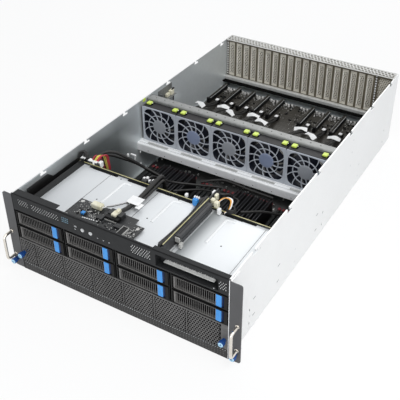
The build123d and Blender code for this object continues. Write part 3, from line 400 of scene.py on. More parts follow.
fin_metal("finned_aluminium", (0.13, 0.13, 0.14), (0.012, 0.012, 0.013))
drive_tray("tray_metal")
braided_cable("cable_black", (0.006, 0.006, 0.006), (0.022, 0.021, 0.02))
for row in (
    ("pale_mark", (0.42, 0.44, 0.45), (0.74, 0.75, 0.75)),
    ("lamp_blue", (0.05, 0.12, 0.18), (0.16, 0.3, 0.38)),
    ("white_tag", (0.8, 0.8, 0.79), (0.9, 0.9, 0.89), 0.6),
    ("chip_pale", (0.2, 0.2, 0.19), (0.66, 0.65, 0.63), 0.4),
    ("cream_plastic", (0.64, 0.6, 0.42), (0.8, 0.77, 0.62)),
    ("maroon_plastic", (0.1, 0.012, 0.016), (0.22, 0.03, 0.035)),
    ("chip_black", (0.004, 0.004, 0.004), (0.016, 0.016, 0.017), 0.4, 0.2),
    ("solder_silver", (0.4, 0.4, 0.38), (0.72, 0.71, 0.68), 0.3),
    ("board_edge", (0.36, 0.33, 0.14), (0.6, 0.56, 0.3)),
    ("orange_wire", (0.62, 0.26, 0.03), (0.8, 0.4, 0.06)),
    ("red_wire", (0.38, 0.015, 0.03), (0.56, 0.04, 0.07)),
    ("yellow_wire", (0.55, 0.42, 0.05), (0.75, 0.62, 0.12)),
):
    small_parts(*row)


# Finishes on the solids


def numbered(stem, count):
    """The names stem_1, stem_2 and so on."""
    return [f"{stem}_{k}" for k in range(1, count + 1)]


worn_by = {
    "case_zinc": ["chassis_tray"],
    "galvanised_steel": ["rear_panel", "fan_cage"],
    "cage_zinc": ["drive_cage"],
    "cover_steel": ["slot_covers"],
    "charcoal_paint": ["front_bezel", "front_grille"],
    "ear_paint": ["rack_ears"],
    "bright_bar": ["handles"],
    "black_board": ["control_board", "backplane"],
    "riser_grey": ["riser_card"],
    "deck_brown": ["switch_board"],
    "green_board": ["main_board"],
    "finned_aluminium": ["coolers"],
    "cable_black": ["cables"],
    "tray_metal": numbered("drive_caddy", BAYS),
    "bay_black": numbered("caddy_lever", BAYS),
    "blue_plastic": numbered("caddy_latch", BAYS)
    + [f"{stem}_screw_{side}" for stem in ("ear", "grille") for side in ("left", "right")],
    "fan_grey": numbered("fan_module", FANS),
    "blade_black": numbered("fan_rotor", FANS),
    "supply_steel": numbered("power_supply", SUPPLIES),
    "button_grey": ["button_power", "button_locate"],
}
for finish, names in worn_by.items():
    for name in names:
        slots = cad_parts[name].data.materials
        slots.clear()
        slots.append(Finish.kept[finish].material)


# Shape tools


def put(name, parts, finish, body="chassis", slot=None, stands_for=(), crease=None):
    """Joins parts, each a pair of points in millimetres and lists of faces, into a piece on a body."""
    points, faces, start = [], [], 0
    for part_points, part_faces in parts:
        points.append(np.reshape(part_points, (-1, 3)))
        for group in part_faces:
            faces.extend((np.asarray(group) + start).tolist())
        start += len(points[-1])
    mesh = bpy.data.meshes.new(name)
    mesh.from_pydata((np.concatenate(points) * MM).tolist(), [], faces)
    mesh.update()
    if crease is not None:
        mesh.polygons.foreach_set("use_smooth", np.ones(len(faces), bool))
        mesh.set_sharp_from_angle(angle=math.radians(crease))
    mesh.materials.append(Finish.kept[finish].material)
    piece = bpy.data.objects.new(name, mesh)
    bpy.context.scene.collection.objects.link(piece)
    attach(piece, body)
    if stands_for:
        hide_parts(*stands_for)
    return piece


def turned_out(points, faces):
    """The faces, all turned round if they point inwards. The shell's volume tells: it adds up the middle
    of each face times its area, which is half the sum of the cross products of its corners."""
    volume = 0
    for group in faces:
        corners = points[group]
        areas = np.cross(corners, np.roll(corners, -1, axis=1)).sum(1)
        volume += (corners.mean(1) * areas).sum()
    return faces if volume > 0 else [group[:, ::-1] for group in faces]


def skin(grid, closed=False, caps=True):
    """Faces of a surface given as rings of points: ring i joins ring i + 1, and each ring closes on
    itself. A closed surface also joins its last ring to its first, and otherwise the end rings are
    capped."""
    rings, count = grid.shape[:2]
    index = np.arange(rings * count).reshape(rings, count)
    ahead = np.roll(index, -1, axis=1)
    last = rings if closed else rings - 1
    up = np.roll(index, -1, axis=0)
    up_ahead = np.roll(up, -1, axis=1)
    faces = [np.stack((index[:last], ahead[:last], up_ahead[:last], up[:last]), -1).reshape(-1, 4)]
    if caps and not closed:
        faces += [index[:1, ::-1], index[-1:]]
    points = grid.reshape(-1, 3)
    return points, turned_out(points, faces) if closed or caps else faces


def moved(part, shift):
    """The part, with the shift added to its points."""
    return np.asarray(part[0]).reshape(-1, 3) + np.asarray(shift, float), part[1]


def mirrored(part):
    """The part across the middle plane, with its faces turned to point outwards again."""
    return part[0] * (-1, 1, 1), [np.asarray(group)[:, ::-1] for group in part[1]]


def blocks(boxes, edge=0.3):
    """Boxes with their edges cut at 45 degrees, from rows of x0, x1, y0, y1, z0, z1. Four rings of eight
    points run up each box: the outline less its corners, drawn in by the edge at bottom and top."""
    x0, x1, y0, y1, z0, z1 = np.asarray(boxes, float).reshape(-1, 6).T
    cut = np.minimum(edge, 0.3 * np.minimum(np.minimum(x1 - x0, y1 - y0), z1 - z0))
    rings = []
    levels = (
        (z0, cut, 0.4 * cut),
        (z0 + cut, 0 * cut, cut),
        (z1 - cut, 0 * cut, cut),
        (z1, cut, 0.4 * cut),
    )
    for height, inset, corner in levels:
        left, right, near, far = x0 + inset, x1 - inset, y0 + inset, y1 - inset
        xs = (left + corner, right - corner, right, right, right - corner, left + corner, left, left)
        ys = (near, near, near + corner, far - corner, far, far, far - corner, near + corner)
        rings.append(np.stack((np.stack(xs, 1), np.stack(ys, 1), np.repeat(height[:, None], 8, 1)), -1))
    grid = np.stack(rings, 1)
    one = skin(grid[0])[1]
    offsets = 32 * np.arange(len(x0))[:, None, None]
    faces = [(np.asarray(group)[None] + offsets).reshape(-1, np.asarray(group).shape[1]) for group in one]
    return grid.reshape(-1, 3), faces


def lattice(us, vs, solid, depth):
    """An upright sheet cut on a grid: us and vs are the grid lines along x and z, solid says which cells
    hold metal and depth is the pair of limits in y. Cells make the front and back, their open edges the
    walls."""
    grid = np.stack(np.meshgrid(us, depth, vs, indexing="ij"), -1)
    index = np.arange(grid[..., 0].size).reshape(grid.shape[:3])
    i, j = np.nonzero(solid)
    front = index[i, 0, j], index[i + 1, 0, j], index[i + 1, 0, j + 1], index[i, 0, j + 1]
    back = index[i, 1, j], index[i + 1, 1, j], index[i + 1, 1, j + 1], index[i, 1, j + 1]
    faces = [np.stack(front, 1), np.stack(back[::-1], 1)]
    padded = np.pad(solid, 1)
    for (di, dj), p, q in (((-1, 0), 3, 0), ((1, 0), 1, 2), ((0, -1), 0, 1), ((0, 1), 2, 3)):
        edge = ~padded[i + 1 + di, j + 1 + dj]
        faces.append(np.stack((front[q], front[p], back[p], back[q]), 1)[edge])
    return grid.reshape(-1, 3), faces


def cut_plate(area, openings, depth):
    """An upright sheet over an area with rectangular openings, all given as x0, x1, z0, z1."""
    edges = np.array([area, *openings], float)
    us, vs = np.unique(edges[:, :2]), np.unique(edges[:, 2:])
    middle_u, middle_v = (us[1:] + us[:-1]) / 2, (vs[1:] + vs[:-1]) / 2
    solid = np.ones((len(middle_u), len(middle_v)), bool)
    for u0, u1, v0, v1 in openings:
        solid &= ~np.outer((middle_u > u0) & (middle_u < u1), (middle_v > v0) & (middle_v < v1))
    return lattice(us, vs, solid, depth)


def perforated(area, counts, webs, border, margin, depth, staggered=False):
    """An upright sheet with rows of equal holes over an area x0, x1, z0, z1. Along each direction the
    holes stand a web apart, the first and last a border inside the area, and the sheet reaches a margin
    beyond it. A staggered sheet has every other hole only."""
    lines = []
    for (low, high), count, web in zip((area[:2], area[2:]), counts, webs):
        hole = (high - low - 2 * border - (count - 1) * web) / count
        starts = low + border + np.arange(count) * (hole + web)
        edges = np.stack((starts, starts + hole), 1).ravel()
        lines.append(np.concatenate(((low - margin,), edges, (high + margin,))))
    column, row = np.indices((len(lines[0]) - 1, len(lines[1]) - 1))
    solid = (column % 2 == 0) | (row % 2 == 0)
    if staggered:
        solid |= (column + row) // 2 % 2 == 1
    return lattice(*lines, solid, depth)


def honeycomb(low, high, pitch, wall, depth):
    """A sheet of six-sided cells, each with a six-sided hole. low and high limit the two directions of
    the sheet, rows stand at 0.866 of the pitch and every other row is shifted by half of it. Each cell
    has a front ring, a back ring and the hole's wall between an outer and an inner hexagon."""
    row_pitch = pitch * math.sqrt(0.75)
    columns = int((high[0] - low[0]) / pitch)
    rows = int((high[1] - low[1]) / row_pitch)
    column, row = np.meshgrid(np.arange(columns), np.arange(rows), indexing="ij")
    u = (low[0] + high[0]) / 2 + (column - (columns - 0.5) / 2 + 0.5 * (row % 2)) * pitch
    v = (low[1] + high[1]) / 2 + (row - (rows - 1) / 2) * row_pitch
    angle = np.radians(30 + 60 * np.arange(6))
    outer = pitch / math.sqrt(3)
    inner = outer - wall / math.sqrt(3)
    rings = []
    for radius, level in ((outer, depth[0]), (inner, depth[0]), (inner, depth[1]), (outer, depth[1])):
        ring_u = u.reshape(-1, 1) + radius * np.cos(angle)
        ring_v = v.reshape(-1, 1) + radius * np.sin(angle)
        rings.append(np.stack((ring_u, np.full_like(ring_u, level), ring_v), -1))
    grid = np.stack(rings, 1)
    one = skin(grid[0], caps=False)[1][0]
    offsets = 24 * np.arange(len(grid))[:, None, None]
    return grid.reshape(-1, 3), [(one[None] + offsets).reshape(-1, 4)]


def arc_points(count):
    """Angles in equal steps round a full turn."""
    return 2 * math.pi * np.arange(count) / count


def turned(profile, centre, count=24, axis="y", ripple=0, teeth=0):
    """A turned solid: rows of profile are the distance along the axis and the radius, carried round in
    count steps. Ripple is the depth of the grip's teeth, as a share of the radius."""
    profile = np.asarray(profile, float)
    angle = arc_points(count)
    radius = profile[:, 1:] * (1 - ripple * (0.5 + 0.5 * np.cos(teeth * angle)))
    first = radius * np.cos(angle)
    second = radius * np.sin(angle)
    along = np.repeat(profile[:, :1], count, 1)
    order = {"y": (first, along, second), "z": (first, second, along), "x": (along, first, second)}[axis]
    return skin(np.stack(order, -1) + np.asarray(centre, float))


def rounded_route(points, radius, steps=6):
    """A route through points with each corner replaced by an arc: the arc starts and ends the same
    distance from the corner, and its points are the blend (1-t)^2, 2t(1-t), t^2 of start, corner and
    end."""
    points = np.asarray(points, float)
    before = points[1:-1] - points[:-2]
    after = points[2:] - points[1:-1]
    run_in = np.linalg.norm(before, axis=1, keepdims=True)
    run_out = np.linalg.norm(after, axis=1, keepdims=True)
    reach = np.minimum(radius, 0.48 * np.minimum(run_in, run_out))
    start = points[1:-1] - before / run_in * reach
    end = points[1:-1] + after / run_out * reach
    t = np.linspace(0, 1, steps)[None, :, None]
    arcs = (1 - t) ** 2 * start[:, None] + 2 * t * (1 - t) * points[1:-1, None] + t**2 * end[:, None]
    return np.concatenate((points[:1], arcs.reshape(-1, 3), points[-1:]))


def tube(route, radius, count=10, flat=1, level=(1, 0, 0)):
    """A round or flattened section carried along a route. Each ring is square to the mean of the runs on
    both sides of its point. Its width axis starts along level and is carried on without twist."""
    route = np.asarray(route, float)
    runs = np.diff(route, axis=0)
    runs /= np.linalg.norm(runs, axis=1, keepdims=True)
    ahead = np.concatenate((runs[:1], runs[:-1] + runs[1:], runs[-1:]))
    ahead /= np.linalg.norm(ahead, axis=1, keepdims=True)
    wide = np.empty_like(route)
    kept = np.asarray(level, float)
    for station, forward in enumerate(ahead):
        kept = kept - kept.dot(forward) * forward
        kept = kept / np.linalg.norm(kept)
        wide[station] = kept
    high = np.cross(wide, ahead)
    angle = arc_points(count)[None, :, None]
    rings = np.cos(angle) * wide[:, None] + flat * np.sin(angle) * high[:, None]
    return skin(route[:, None] + radius * rings)


def hoop(centre, first, second, radius, count):
    """A round bar bent into a closed oval: first and second are the oval's half axes, and its section
    turns from the line out of the centre to the line square to the oval."""
    first, second = np.array(first, float), np.array(second, float)
    angle, section = arc_points(28)[:, None], arc_points(count)[None, :, None]
    reach = np.cos(angle) * first + np.sin(angle) * second
    outward = reach / np.linalg.norm(reach, axis=1, keepdims=True)
    side = np.cross(first, second)
    side /= np.linalg.norm(side)
    bar = reach[:, None] + radius * (np.cos(section) * outward[:, None] + np.sin(section) * side)
    return skin(bar + np.array(centre, float), closed=True)


def set_blocks(table, body="chassis"):
    """Pieces made of cut boxes on one body. A row of the table has a piece's name, finish, width of the
    cut edges and boxes, whose y is counted from the front plane."""
    for name, finish, edge, boxes in table:
        rows = np.array(boxes, float) + (0, 0, FRONT, FRONT, 0, 0)
        put(name, [blocks(rows, edge)], finish, body)


def around(places, half, *rest):
    """Boxes of one width in x, a half to each side of each place, and alike in y and z."""
    return [(x - half, x + half, *rest) for x in places]


# Front panels


def grille_sheet():
    """The lower front panel: fields of six-sided holes between plain seams, and a plain lip below with
    rows of small cuts. Plain bands are blocks, and the fields stand a hair behind their front."""
    seams = -180.7 + 64.2 * np.arange(6)
    edges = np.concatenate(((-218.7,), seams, (205,)))
    low, high, side = 21, 72.5, 218.7
    bands = [
        (-side, side, 0, 1.5, high, 75),
        (-side, -216.5, 0, 1.5, low, high),
        (205, side, 0, 1.5, low, high),
    ]
    parts = [moved(blocks(bands + around(seams, 0.7, 0, 1.5, low, high)), (0, FRONT, 0))]
    for start, end in zip(edges[:-1], edges[1:]):
        parts.append(honeycomb((start, low - 1), (end, high + 1), 5.5, 1.7, (FRONT + 0.1, FRONT + 0.6)))
    put("grille_sheet", parts, "grille_paint", slot="charcoal_paint", stands_for=["front_grille"])
    lip = moved(blocks([(-side, side, 0, 1.5, 0.2, low)]), (0, FRONT, 0))
    put("grille_lip", [lip], "lip_paint", slot="charcoal_paint")
    cuts = [around(np.arange(-213, 213, 5.5), 0.9, -0.06, 0.1, z, z + 1.3) for z in (4, 8, 12)]
    seam = [around([x], 0.5, -0.12, 0.3, 2, 173.5) for x in (-219.1, 219.1)]
    set_blocks([
        # a black sheet just behind the grille: painted shade seen through its holes
        ("grille_painted_shade", "bay_black", 0.2, [(-217, 217, 8, 8.6, 2, 74)]),
        ("grille_pips", "pale_mark", 0.15, around(np.arange(-214, 214, 4.6), 0.7, -0.25, 0.1, 16.9, 17.9)),
        ("lip_cuts", "grille_paint", 0.02, sum(cuts, [])),
        ("panel_seam_left", "bay_black", 0.05, seam[0]),
        ("panel_seam_right", "shelf_zinc", 0.05, seam[1]),
    ])


def strip_sheet():
    """The upper front strip: one sheet with openings for its vents, port and card window, staggered
    square holes in the vents, the folded top flange and the box behind the window with the card's
    bracket."""
    # each vent's area, with its columns of hole pairs and its rows
    fields = [
        ((-206, -183, 153.7, 166), 5, 4),
        ((-175.5, -115, 153, 165), 12, 4),
        ((36, 74, 149, 167), 8, 5),
        ((200, 214, 148, 164), 3, 5),
    ]
    back = 15
    parts = []
    for area, columns, rows in fields:
        web = 0.17 * (area[1] - area[0]) / columns
        vent = (2 * columns, rows), (web, 1.5 * web), 0.5, 0.6, (FRONT + 0.05, FRONT + 0.35)
        parts.append(perforated(area, *vent, staggered=True))
    openings = [area for area, *rest in fields] + [(84, 200, 143, 166), (-82.5, -75.5, 153.7, 158)]
    parts.append(cut_plate((-218.7, 218.7, 140, 174.5), openings, (FRONT, FRONT + 1.5)))
    flange = [(-217.4, -122, 16), (-122, 77, 5), (77, 217.4, 11)]
    box = [
        (82.5, 84, 141.5, 167.5),
        (200, 201.5, 141.5, 167.5),
        (82.5, 201.5, 141.5, 143),
        (82.5, 201.5, 166, 167.5),
    ]
    fold = blocks([(x0, x1, 0, deep, 173, 174.5) for x0, x1, deep in flange], 0.4)
    parts.append(moved(fold, (0, FRONT, 0)))
    parts.append(moved(blocks([(x0, x1, 1, back, z0, z1) for x0, x1, z0, z1 in box]), (0, FRONT, 0)))
    window = (94, 186, 146, 164)
    parts.append(cut_plate((82.5, 201.5, 141.5, 167.5), [window], (FRONT + back, FRONT + back + 1.5)))
    put("strip_sheet", parts, "charcoal_paint", slot="charcoal_paint", stands_for=["front_bezel"])
    bracket = perforated(window, (24, 5), (1.5, 1.3), 1.2, 1, (FRONT + back + 1.7, FRONT + back + 2.5))
    foot = blocks([(93, 187, FRONT + back - 6, FRONT + back + 1.4, 146.4, 147.4)])
    put("card_bracket", [bracket, foot], "bright_zinc", slot="galvanised_steel")
    marks = [
        (x, x + 2.4, -0.12, 0.1, z, z + 1.2)
        for x, z in ((-33, 149.8), (-21, 149.8), (-9, 149.8), (-80, 150.2))
    ]
    lamps = [
        (x, x + 2.2, -0.15, 0.1, z, z + 2)
        for x in (-107, -103.2, -99.4, -95.6)
        for z in (156, 160, 164)
    ]
    # pale plates just behind the vents: painted light seen through their holes
    lights = [(x0, x1, 0.5, 0.9, z0, z1) for (x0, x1, z0, z1), *rest in fields]
    set_blocks([
        ("vent_painted_light", "white_tag", 0.05, lights),
        ("strip_marks", "pale_mark", 0.1, marks + [(190.5, 192, 0.5, 1.4, 143.2, 144.6)]),
        ("strip_lamps", "lamp_blue", 0.3, lamps),
    ])


def thumbscrews():
    """A knurled grip whose edges are turned down, with a dark cross on its pale face."""
    for side, hand in (("left", -1), ("right", 1)):
        for stem, x, z, slab, length in (("ear", 232.55, 20, 2.5, 12), ("grille", 212, 42, 1.5, 7)):
            body = f"{stem}_knob_{side}"
            tip = (hand * x, FRONT - 14, z)
            edge = [(0.8, 4.3), (1.1, 5.2), (2, 5.5), (7, 5.5), (8.4, 5.2), (9, 4.2), (13.7, 3.5)]
            grip = turned(edge, tip, 48, ripple=0.07, teeth=24)
            neck = slab + 1
            end = neck + length
            shank = [(-5.2, 3.2), (neck, 3.2), (neck + 0.01, 3), (end - 0.6, 3), (end, 2.5)]
            parts = [grip, turned(shank, (hand * x, FRONT, z), 20)]
            put(f"{stem}_grip_{side}", parts, "knob_blue", body, "blue_plastic", crease=35)
            bars = [(-2.5, 2.5, 0, 0.5, -0.55, 0.55), (-0.55, 0.55, 0, 0.5, -2.5, 2.5)]
            cross = moved(blocks(bars, 0.12), tip)
            put(f"{stem}_cross_{side}", [cross], "knob_blue", body, "blue_plastic")
            core = turned([(0.05, 3.4), (0.4, 4.5), (1.1, 4.6), (1.2, 3.2)], tip, 24)
            screw = [f"{stem}_screw_{side}"]
            put(f"{stem}_face_{side}", [core], "knob_pale", body, "bright_bar", screw, 35)


def pull_handles():
    """A round bar bent into a U, its feet in small collars on the ear."""
    corners = [(235, FRONT + y, z) for y, z in ((0.2, 30), (-21.3, 30), (-21.3, 84), (0.2, 84))]
    bar = tube(rounded_route(corners, 8), 2.7, 14)
    collars = [turned([(-1.6, 3.2), (-1.3, 3.7), (0, 3.7)], (235, FRONT, z), 20) for z in (30, 84)]
    parts = [bar, mirrored(bar)] + collars + [mirrored(collar) for collar in collars]
    put("pull_handles", parts, "bright_bar", slot="bright_bar", stands_for=["handles"], crease=50)


# Drive bays

BAY_PITCH = 109.7
UPPER_BAYS, LOWER_BAYS = 122.5, 90.5
bay_places = [(BAY_PITCH * (k % ROW - 1.5), UPPER_BAYS if k < ROW else LOWER_BAYS) for k in range(BAYS)]


def caddy_fronts():
    """Each lever is a frame with a pin boss and slanted louvres, and each latch a ribbed wedge with a part
    that falls away to the right, in a darker blue of painted shade."""
    half = 11.9
    left, right = -46.7, 30.4
    window = (left + 1.2, right - 0.9, -half + 0.9, half - 0.9)
    sides = cut_plate((left, right, -half, half), [window], (FRONT + 0.5, FRONT + 6.5))
    count = 19
    places = window[0] + (window[1] - window[0]) / count * np.arange(1, count)
    rows = around(places, 0.55, FRONT + 0.7, FRONT + 1.9, window[2] - 0.2, window[3] + 0.2)
    points, faces = blocks(rows, 0.3)
    slats = (points - 0.15 * (points[:, 1:2] - FRONT) * (1, 0, 0), faces)
    boss = turned([(-half, 2.9), (half, 2.9)], (left, FRONT + 3.5, 0), 16, axis="z")
    pin = turned([(-13.6, 1.1), (13.6, 1.1)], (left, FRONT + 3.5, 0), 12, axis="z")
    # the latch's plan, from its left edge round the nose to the sloping right side
    nose = np.array([(30.7, 7), (30.7, 0.3), (31.3, -0.45), (40, -0.5), (40.9, 0.1), (40.9, 7)])
    slope = np.array([(41, 7), (41, 0.3), (45.1, 4.6), (45.1, 7)])
    wedges = []
    for plan in (nose, slope):
        rings = []
        for z, share in ((-half, 1 - 0.4 / 7), (-11.5, 1), (11.5, 1), (half, 1 - 0.4 / 7)):
            ring = plan.mean(0) + (plan - plan.mean(0)) * share
            rings.append(np.insert(ring + (0, FRONT), 2, z, axis=1))
        wedges.append(skin(np.array(rings)))
    ribs = blocks([(33, 39.4, FRONT - 0.5, FRONT - 0.1, z - 0.25, z + 0.25) for z in (-1.6, 0, 1.6)], 0.1)
    for k, (x, z) in enumerate(bay_places, start=1):
        rows = (
            ("lever", "frame", [sides], "frame_grey", "black_plastic", [f"caddy_lever_{k}"], 35),
            ("lever", "louvres", [slats, boss, pin], "louvre_grey", "black_plastic", (), 35),
            ("latch", "wedge", [wedges[0], ribs], "blue_plastic", "blue_plastic", [f"caddy_latch_{k}"]),
            # the latch's sloping right side is a darker copy of its blue: painted shade
            ("latch", "slope", [wedges[1]], "latch_navy", "blue_plastic"),
        )
        for body, stem, parts, finish, *rest in rows:
            placed = [moved(part, (x, 0, z)) for part in parts]
            put(f"{body}_{stem}_{k}", placed, finish, f"{body}_{k}", *rest)


# Fan wall

FAN_FRONT = -9
FAN_AXIS = 122.1
FAN_PITCH = 85.7
fan_places = [FAN_PITCH * (k - 2) for k in range(FANS)]


def mouth_radius(angle, half, power=5):
    """The distance from the middle to a rounded square of the given half width: half divided by the root
    of the summed powers of the cosine and the sine."""
    return half / (np.abs(np.cos(angle)) ** power + np.abs(np.sin(angle)) ** power) ** (1 / power)


def square_radius(angle, wide, tall):
    """The distance from the middle to a rectangle: its half width over the cosine or its half height over
    the sine, whichever is smaller."""
    return 1 / np.maximum(np.abs(np.cos(angle)) / wide, np.abs(np.sin(angle)) / tall)


def rings_about_axis(angle, rows):
    """Rings round the fan's axis, one for each row of radius and depth behind the fan's front."""
    cos, sin, flat = np.cos(angle), np.sin(angle), np.ones_like(angle)
    return np.array([np.stack((r * cos, (FAN_FRONT + d) * flat, r * sin + FAN_AXIS), -1) for r, d in rows])


def fan_modules():
    """The module's frame runs from a square outside to a rounded-square mouth. Twelve spokes leave the
    hub, cross a ring and reach the mouth, and sweep on by 17 degrees times the share of their length to
    the power 1.3. A dark cap with two lime tabs closes the top."""
    angle = np.radians(45) + arc_points(96)
    outside = square_radius(angle, 41.7, 41.7)
    plate = square_radius(angle, 42.7, 41.7)
    mouth = mouth_radius(angle, 38.6)
    bore = mouth_radius(angle, 37.6, 3.2)
    frame_rows = [(plate, 0.4), (plate - 0.4, 0), (mouth + 0.6, 0), (mouth, 0.6), (mouth, 2), (plate, 2)]
    shell = skin(rings_about_axis(angle, frame_rows), closed=True)
    edge, throat = outside - 0.1, bore - 0.3
    tunnel_rows = [(edge, 2.7), (mouth - 0.2, 2.7), (throat, 9), (throat, 25), (edge, 25)]
    tunnel = skin(rings_about_axis(angle, tunnel_rows), closed=True)
    ring_rows = [(27.6, 0.3), (27.6, 2.2), (26.2, 2.2), (26.2, 0.3)]
    ring = skin(rings_about_axis(angle, ring_rows), closed=True)
    spokes = []
    along = np.linspace(0, 1, 6)
    sweep, foot = math.radians(17), 15.5
    for spoke in range(12):
        start = math.radians(30 * spoke + 9)
        bearing = start + sweep * along**1.3
        reach = foot + (mouth_radius(start + sweep, 38.6) + 0.8 - foot) * along
        middle = np.stack((reach * np.cos(bearing), reach * np.sin(bearing)), -1)
        run = np.gradient(middle, axis=0)
        run /= np.linalg.norm(run, axis=1, keepdims=True)
        normal = np.stack((-run[:, 1], run[:, 0]), -1)
        corners = []
        for offset, depth in ((-0.85, 0.4), (0.85, 0.4), (0.85, 2.2), (-0.85, 2.2)):
            x, z = (middle + offset * normal).T
            corners.append(np.stack((x, np.full(6, FAN_FRONT + depth), z + FAN_AXIS), -1))
        spokes.append(skin(np.stack(corners, 1)))
    axis = (0, FAN_FRONT, FAN_AXIS)
    hub = turned([(0.2, 12), (0.35, 14.9), (1.1, 16.4), (2.4, 16.5)], axis, 40)
    motor = turned([(17.6, 15.5), (25, 15.5)], axis, 24)
    arms = []
    for quarter in range(4):
        turn = math.radians(90 * quarter + 20)
        ends = [(r * math.cos(turn), 12, FAN_AXIS + r * math.sin(turn)) for r in (10, 38.4)]
        arms.append(tube(ends, 2.2, 8, level=(0, 1, 0)))
    tabs, bases, tips = [], [], []
    y = FAN_FRONT
    for x in (-32.5, 32.5):
        tabs.append((x - 5, x + 5, y + 10.6, y + 21.4, 164.9, 168.4))
        # each tab's black base runs out to its right as the tab's painted shadow
        bases.append((x - 6, x + 8.6, y + 9.6, y + 22.4, 164.3, 165.1))
        tips.append((x + 4.9, x + 6.4, y + 17.6, y + 19.8, 164.9, 166.2))
    cap = [(-41.6, 41.6, y + 1.6, y + 24.8, 163, 164.45)]
    for k, x in enumerate(fan_places, start=1):
        stood_for = [f"fan_module_{k}"]
        rows = (
            ("guard", [shell, ring] + spokes, "fan_grey", "fan_grey", stood_for, 40),
            ("tunnel", [tunnel, motor] + arms, "blade_black", "black_plastic", (), 40),
            ("hub", [hub], "hub_blue" if k % 2 == 0 else "hub_grey", "fan_grey", (), 40),
            ("cap", [blocks(cap, 0.4)], "fan_strip_black", "black_plastic"),
            ("bases", [blocks(bases, 0.2)], "bay_black", "black_plastic"),
            ("tabs", [blocks(tabs, 0.5)], "lime_plastic"),
            ("tips", [blocks(tips, 0.3)], "white_tag"),
        )
        for stem, parts, finish, *rest in rows:
            put(f"fan_{stem}_{k}", [moved(part, (x, 0, 0)) for part in parts], finish, f"fan_{k}", *rest)


def fan_rotors():
    """Seven broad blades leave the rotor's hub. Across a blade the depth falls as the angle grows, by less
    towards the tip, and the blade leans round by half a radian as it reaches out."""
    across = np.linspace(-1, 1, 9)
    reach = np.linspace(0, 1, 7)
    blades = []
    for number in range(7):
        rings = []
        for share in reach:
            radius = 15 + 21.6 * share
            half = math.radians(28 - 3 * share)
            bearing = 2 * math.pi * number / 7 + 0.5 * share + half * across
            depth = 12 - (5.6 - 1.6 * share) * across - 0.9 * (1 - across**2)
            x, z = radius * np.cos(bearing), radius * np.sin(bearing)
            front = np.stack((x, FAN_FRONT + depth - 0.6, FAN_AXIS + z), -1)
            rings.append(np.concatenate((front, (front + (0, 1.2, 0))[::-1])))
        blades.append(skin(np.array(rings)))
    hub = turned([(2.6, 14), (3.2, 15.8), (17.2, 15.9)], (0, FAN_FRONT, FAN_AXIS), 36)
    for k, x in enumerate(fan_places, start=1):
        parts = [moved(part, (x, 0, 0)) for part in blades + [hub]]
        put(f"fan_blades_{k}", parts, "blade_black", f"rotor_{k}", "black_plastic", [f"fan_rotor_{k}"], 40)


def folded_sheet(route, bend, steps, thickness, half):
    """A strip of sheet bent along x. The middle line of y and z has rounded corners. It is moved across
    by half the thickness to each side for the outline, which runs a half length to the left and right."""
    line = rounded_route([(0, y, z) for y, z in route], bend, steps)[:, 1:]
    run = np.gradient(line, axis=0)
    run /= np.linalg.norm(run, axis=1, keepdims=True)
    across = np.stack((-run[:, 1], run[:, 0]), -1) * thickness / 2
    outline = np.concatenate((line - across, (line + across)[::-1]))
    return skin(np.stack([np.insert(outline, 0, x, axis=1) for x in (-half, half)]))


def fan_wall():
    """The shelf and the cross beam, both strips of sheet bent along the wall, the upright sheets between
    the fans, the beam's row of small holes, and the clip with plugs and wires at the left wall."""
    shelf = folded_sheet([(-27.4, 61.6), (-27.4, 79.4), (40.4, 79.4), (40.4, 71.6)], 2.4, 6, 1.15, 218.6)
    beam = folded_sheet([(17.2, 158.8), (17.2, 169.7), (36.4, 169.7), (36.4, 158.8)], 2.2, 6, 1.15, 218.6)
    # painted light: the shelf's galvanised sheet wears a near-white, barely metallic copy of its zinc
    put("fan_shelf", [shelf], "shelf_zinc", slot="galvanised_steel", crease=30)
    places = np.clip(FAN_PITCH * (np.arange(FANS + 1) - 2.5), -217.9, 217.9)
    posts = around(places, 0.45, -6.6, 16.6, 80, 150) + around(places, 0.45, 16.6, 36.6, 80, 169)
    clip = [(-217.5, 115, 140, 165), (-204.6, 115, 140, 141.2), (-206, 61.2, 140, 160)]
    clip = blocks([(-218.6, right, 60, *rest) for right, *rest in clip], 0.3)
    parts = [beam, blocks(posts, 0.2), clip]
    put("fan_wall", parts, "beam_zinc", slot="galvanised_steel", stands_for=["fan_cage"], crease=30)
    rivet = [(170.05, 1.3), (170.32, 1.5), (170.34, 0.9)]
    holes = [turned(rivet, (x, 27, 0), 10, axis="z") for x in np.arange(-200, 205, 21.4)]
    dimples = around(np.arange(-190, 200, 43), 1.1, -27.98, -27.7, 66, 67.6)
    put("wall_holes", holes + [blocks(dimples, 0.1)], "chip_black")
    seam = [(-218, 218, -21.6, -21, 79.9, 80.12), (-218, 218, -12.2, -11.7, 79.9, 80.12)]
    put("shelf_seams", [blocks(seam, 0.05)], "beam_zinc", slot="galvanised_steel")
    glints = around(fan_places, 26, -20, -14, 79.9, 80.06)
    put("shelf_glints", [blocks(glints, 0.05)], "flange_zinc", slot="galvanised_steel")
    # painted shade: a black strip on the shelf behind the fans, where the shelf lies in shadow
    put("shelf_painted_shade", [blocks([(-216, 216, 17, 39.4, 79.95, 80.15)], 0.05)], "black_plastic")
    plug = [(-216.5, -208, 98, 110, 141.4, 152), (-216.5, -210, 84, 96, 141.4, 149)]
    put("wall_plugs", [blocks(plug, 0.6)], "cream_plastic")
    wires = []
    for n in range(3):
        route = [(-212, 104, 151), (-210 + 2 * n, 108, 158), (-214, 114 + n, 150), (-215, 114 + n, 120)]
        wires.append(tube(rounded_route(route, 6), 0.9, 6))
    put("wall_wires", wires, "cable_black", slot="cable_black", crease=60)


# Rear wall

COVER_FACE = 375
COVER_PITCH = 20.32
SUPPLY_PITCH = 76
cover_places = -203.5 + COVER_PITCH * np.arange(19)
supply_places = -176 + SUPPLY_PITCH * np.arange(SUPPLIES)


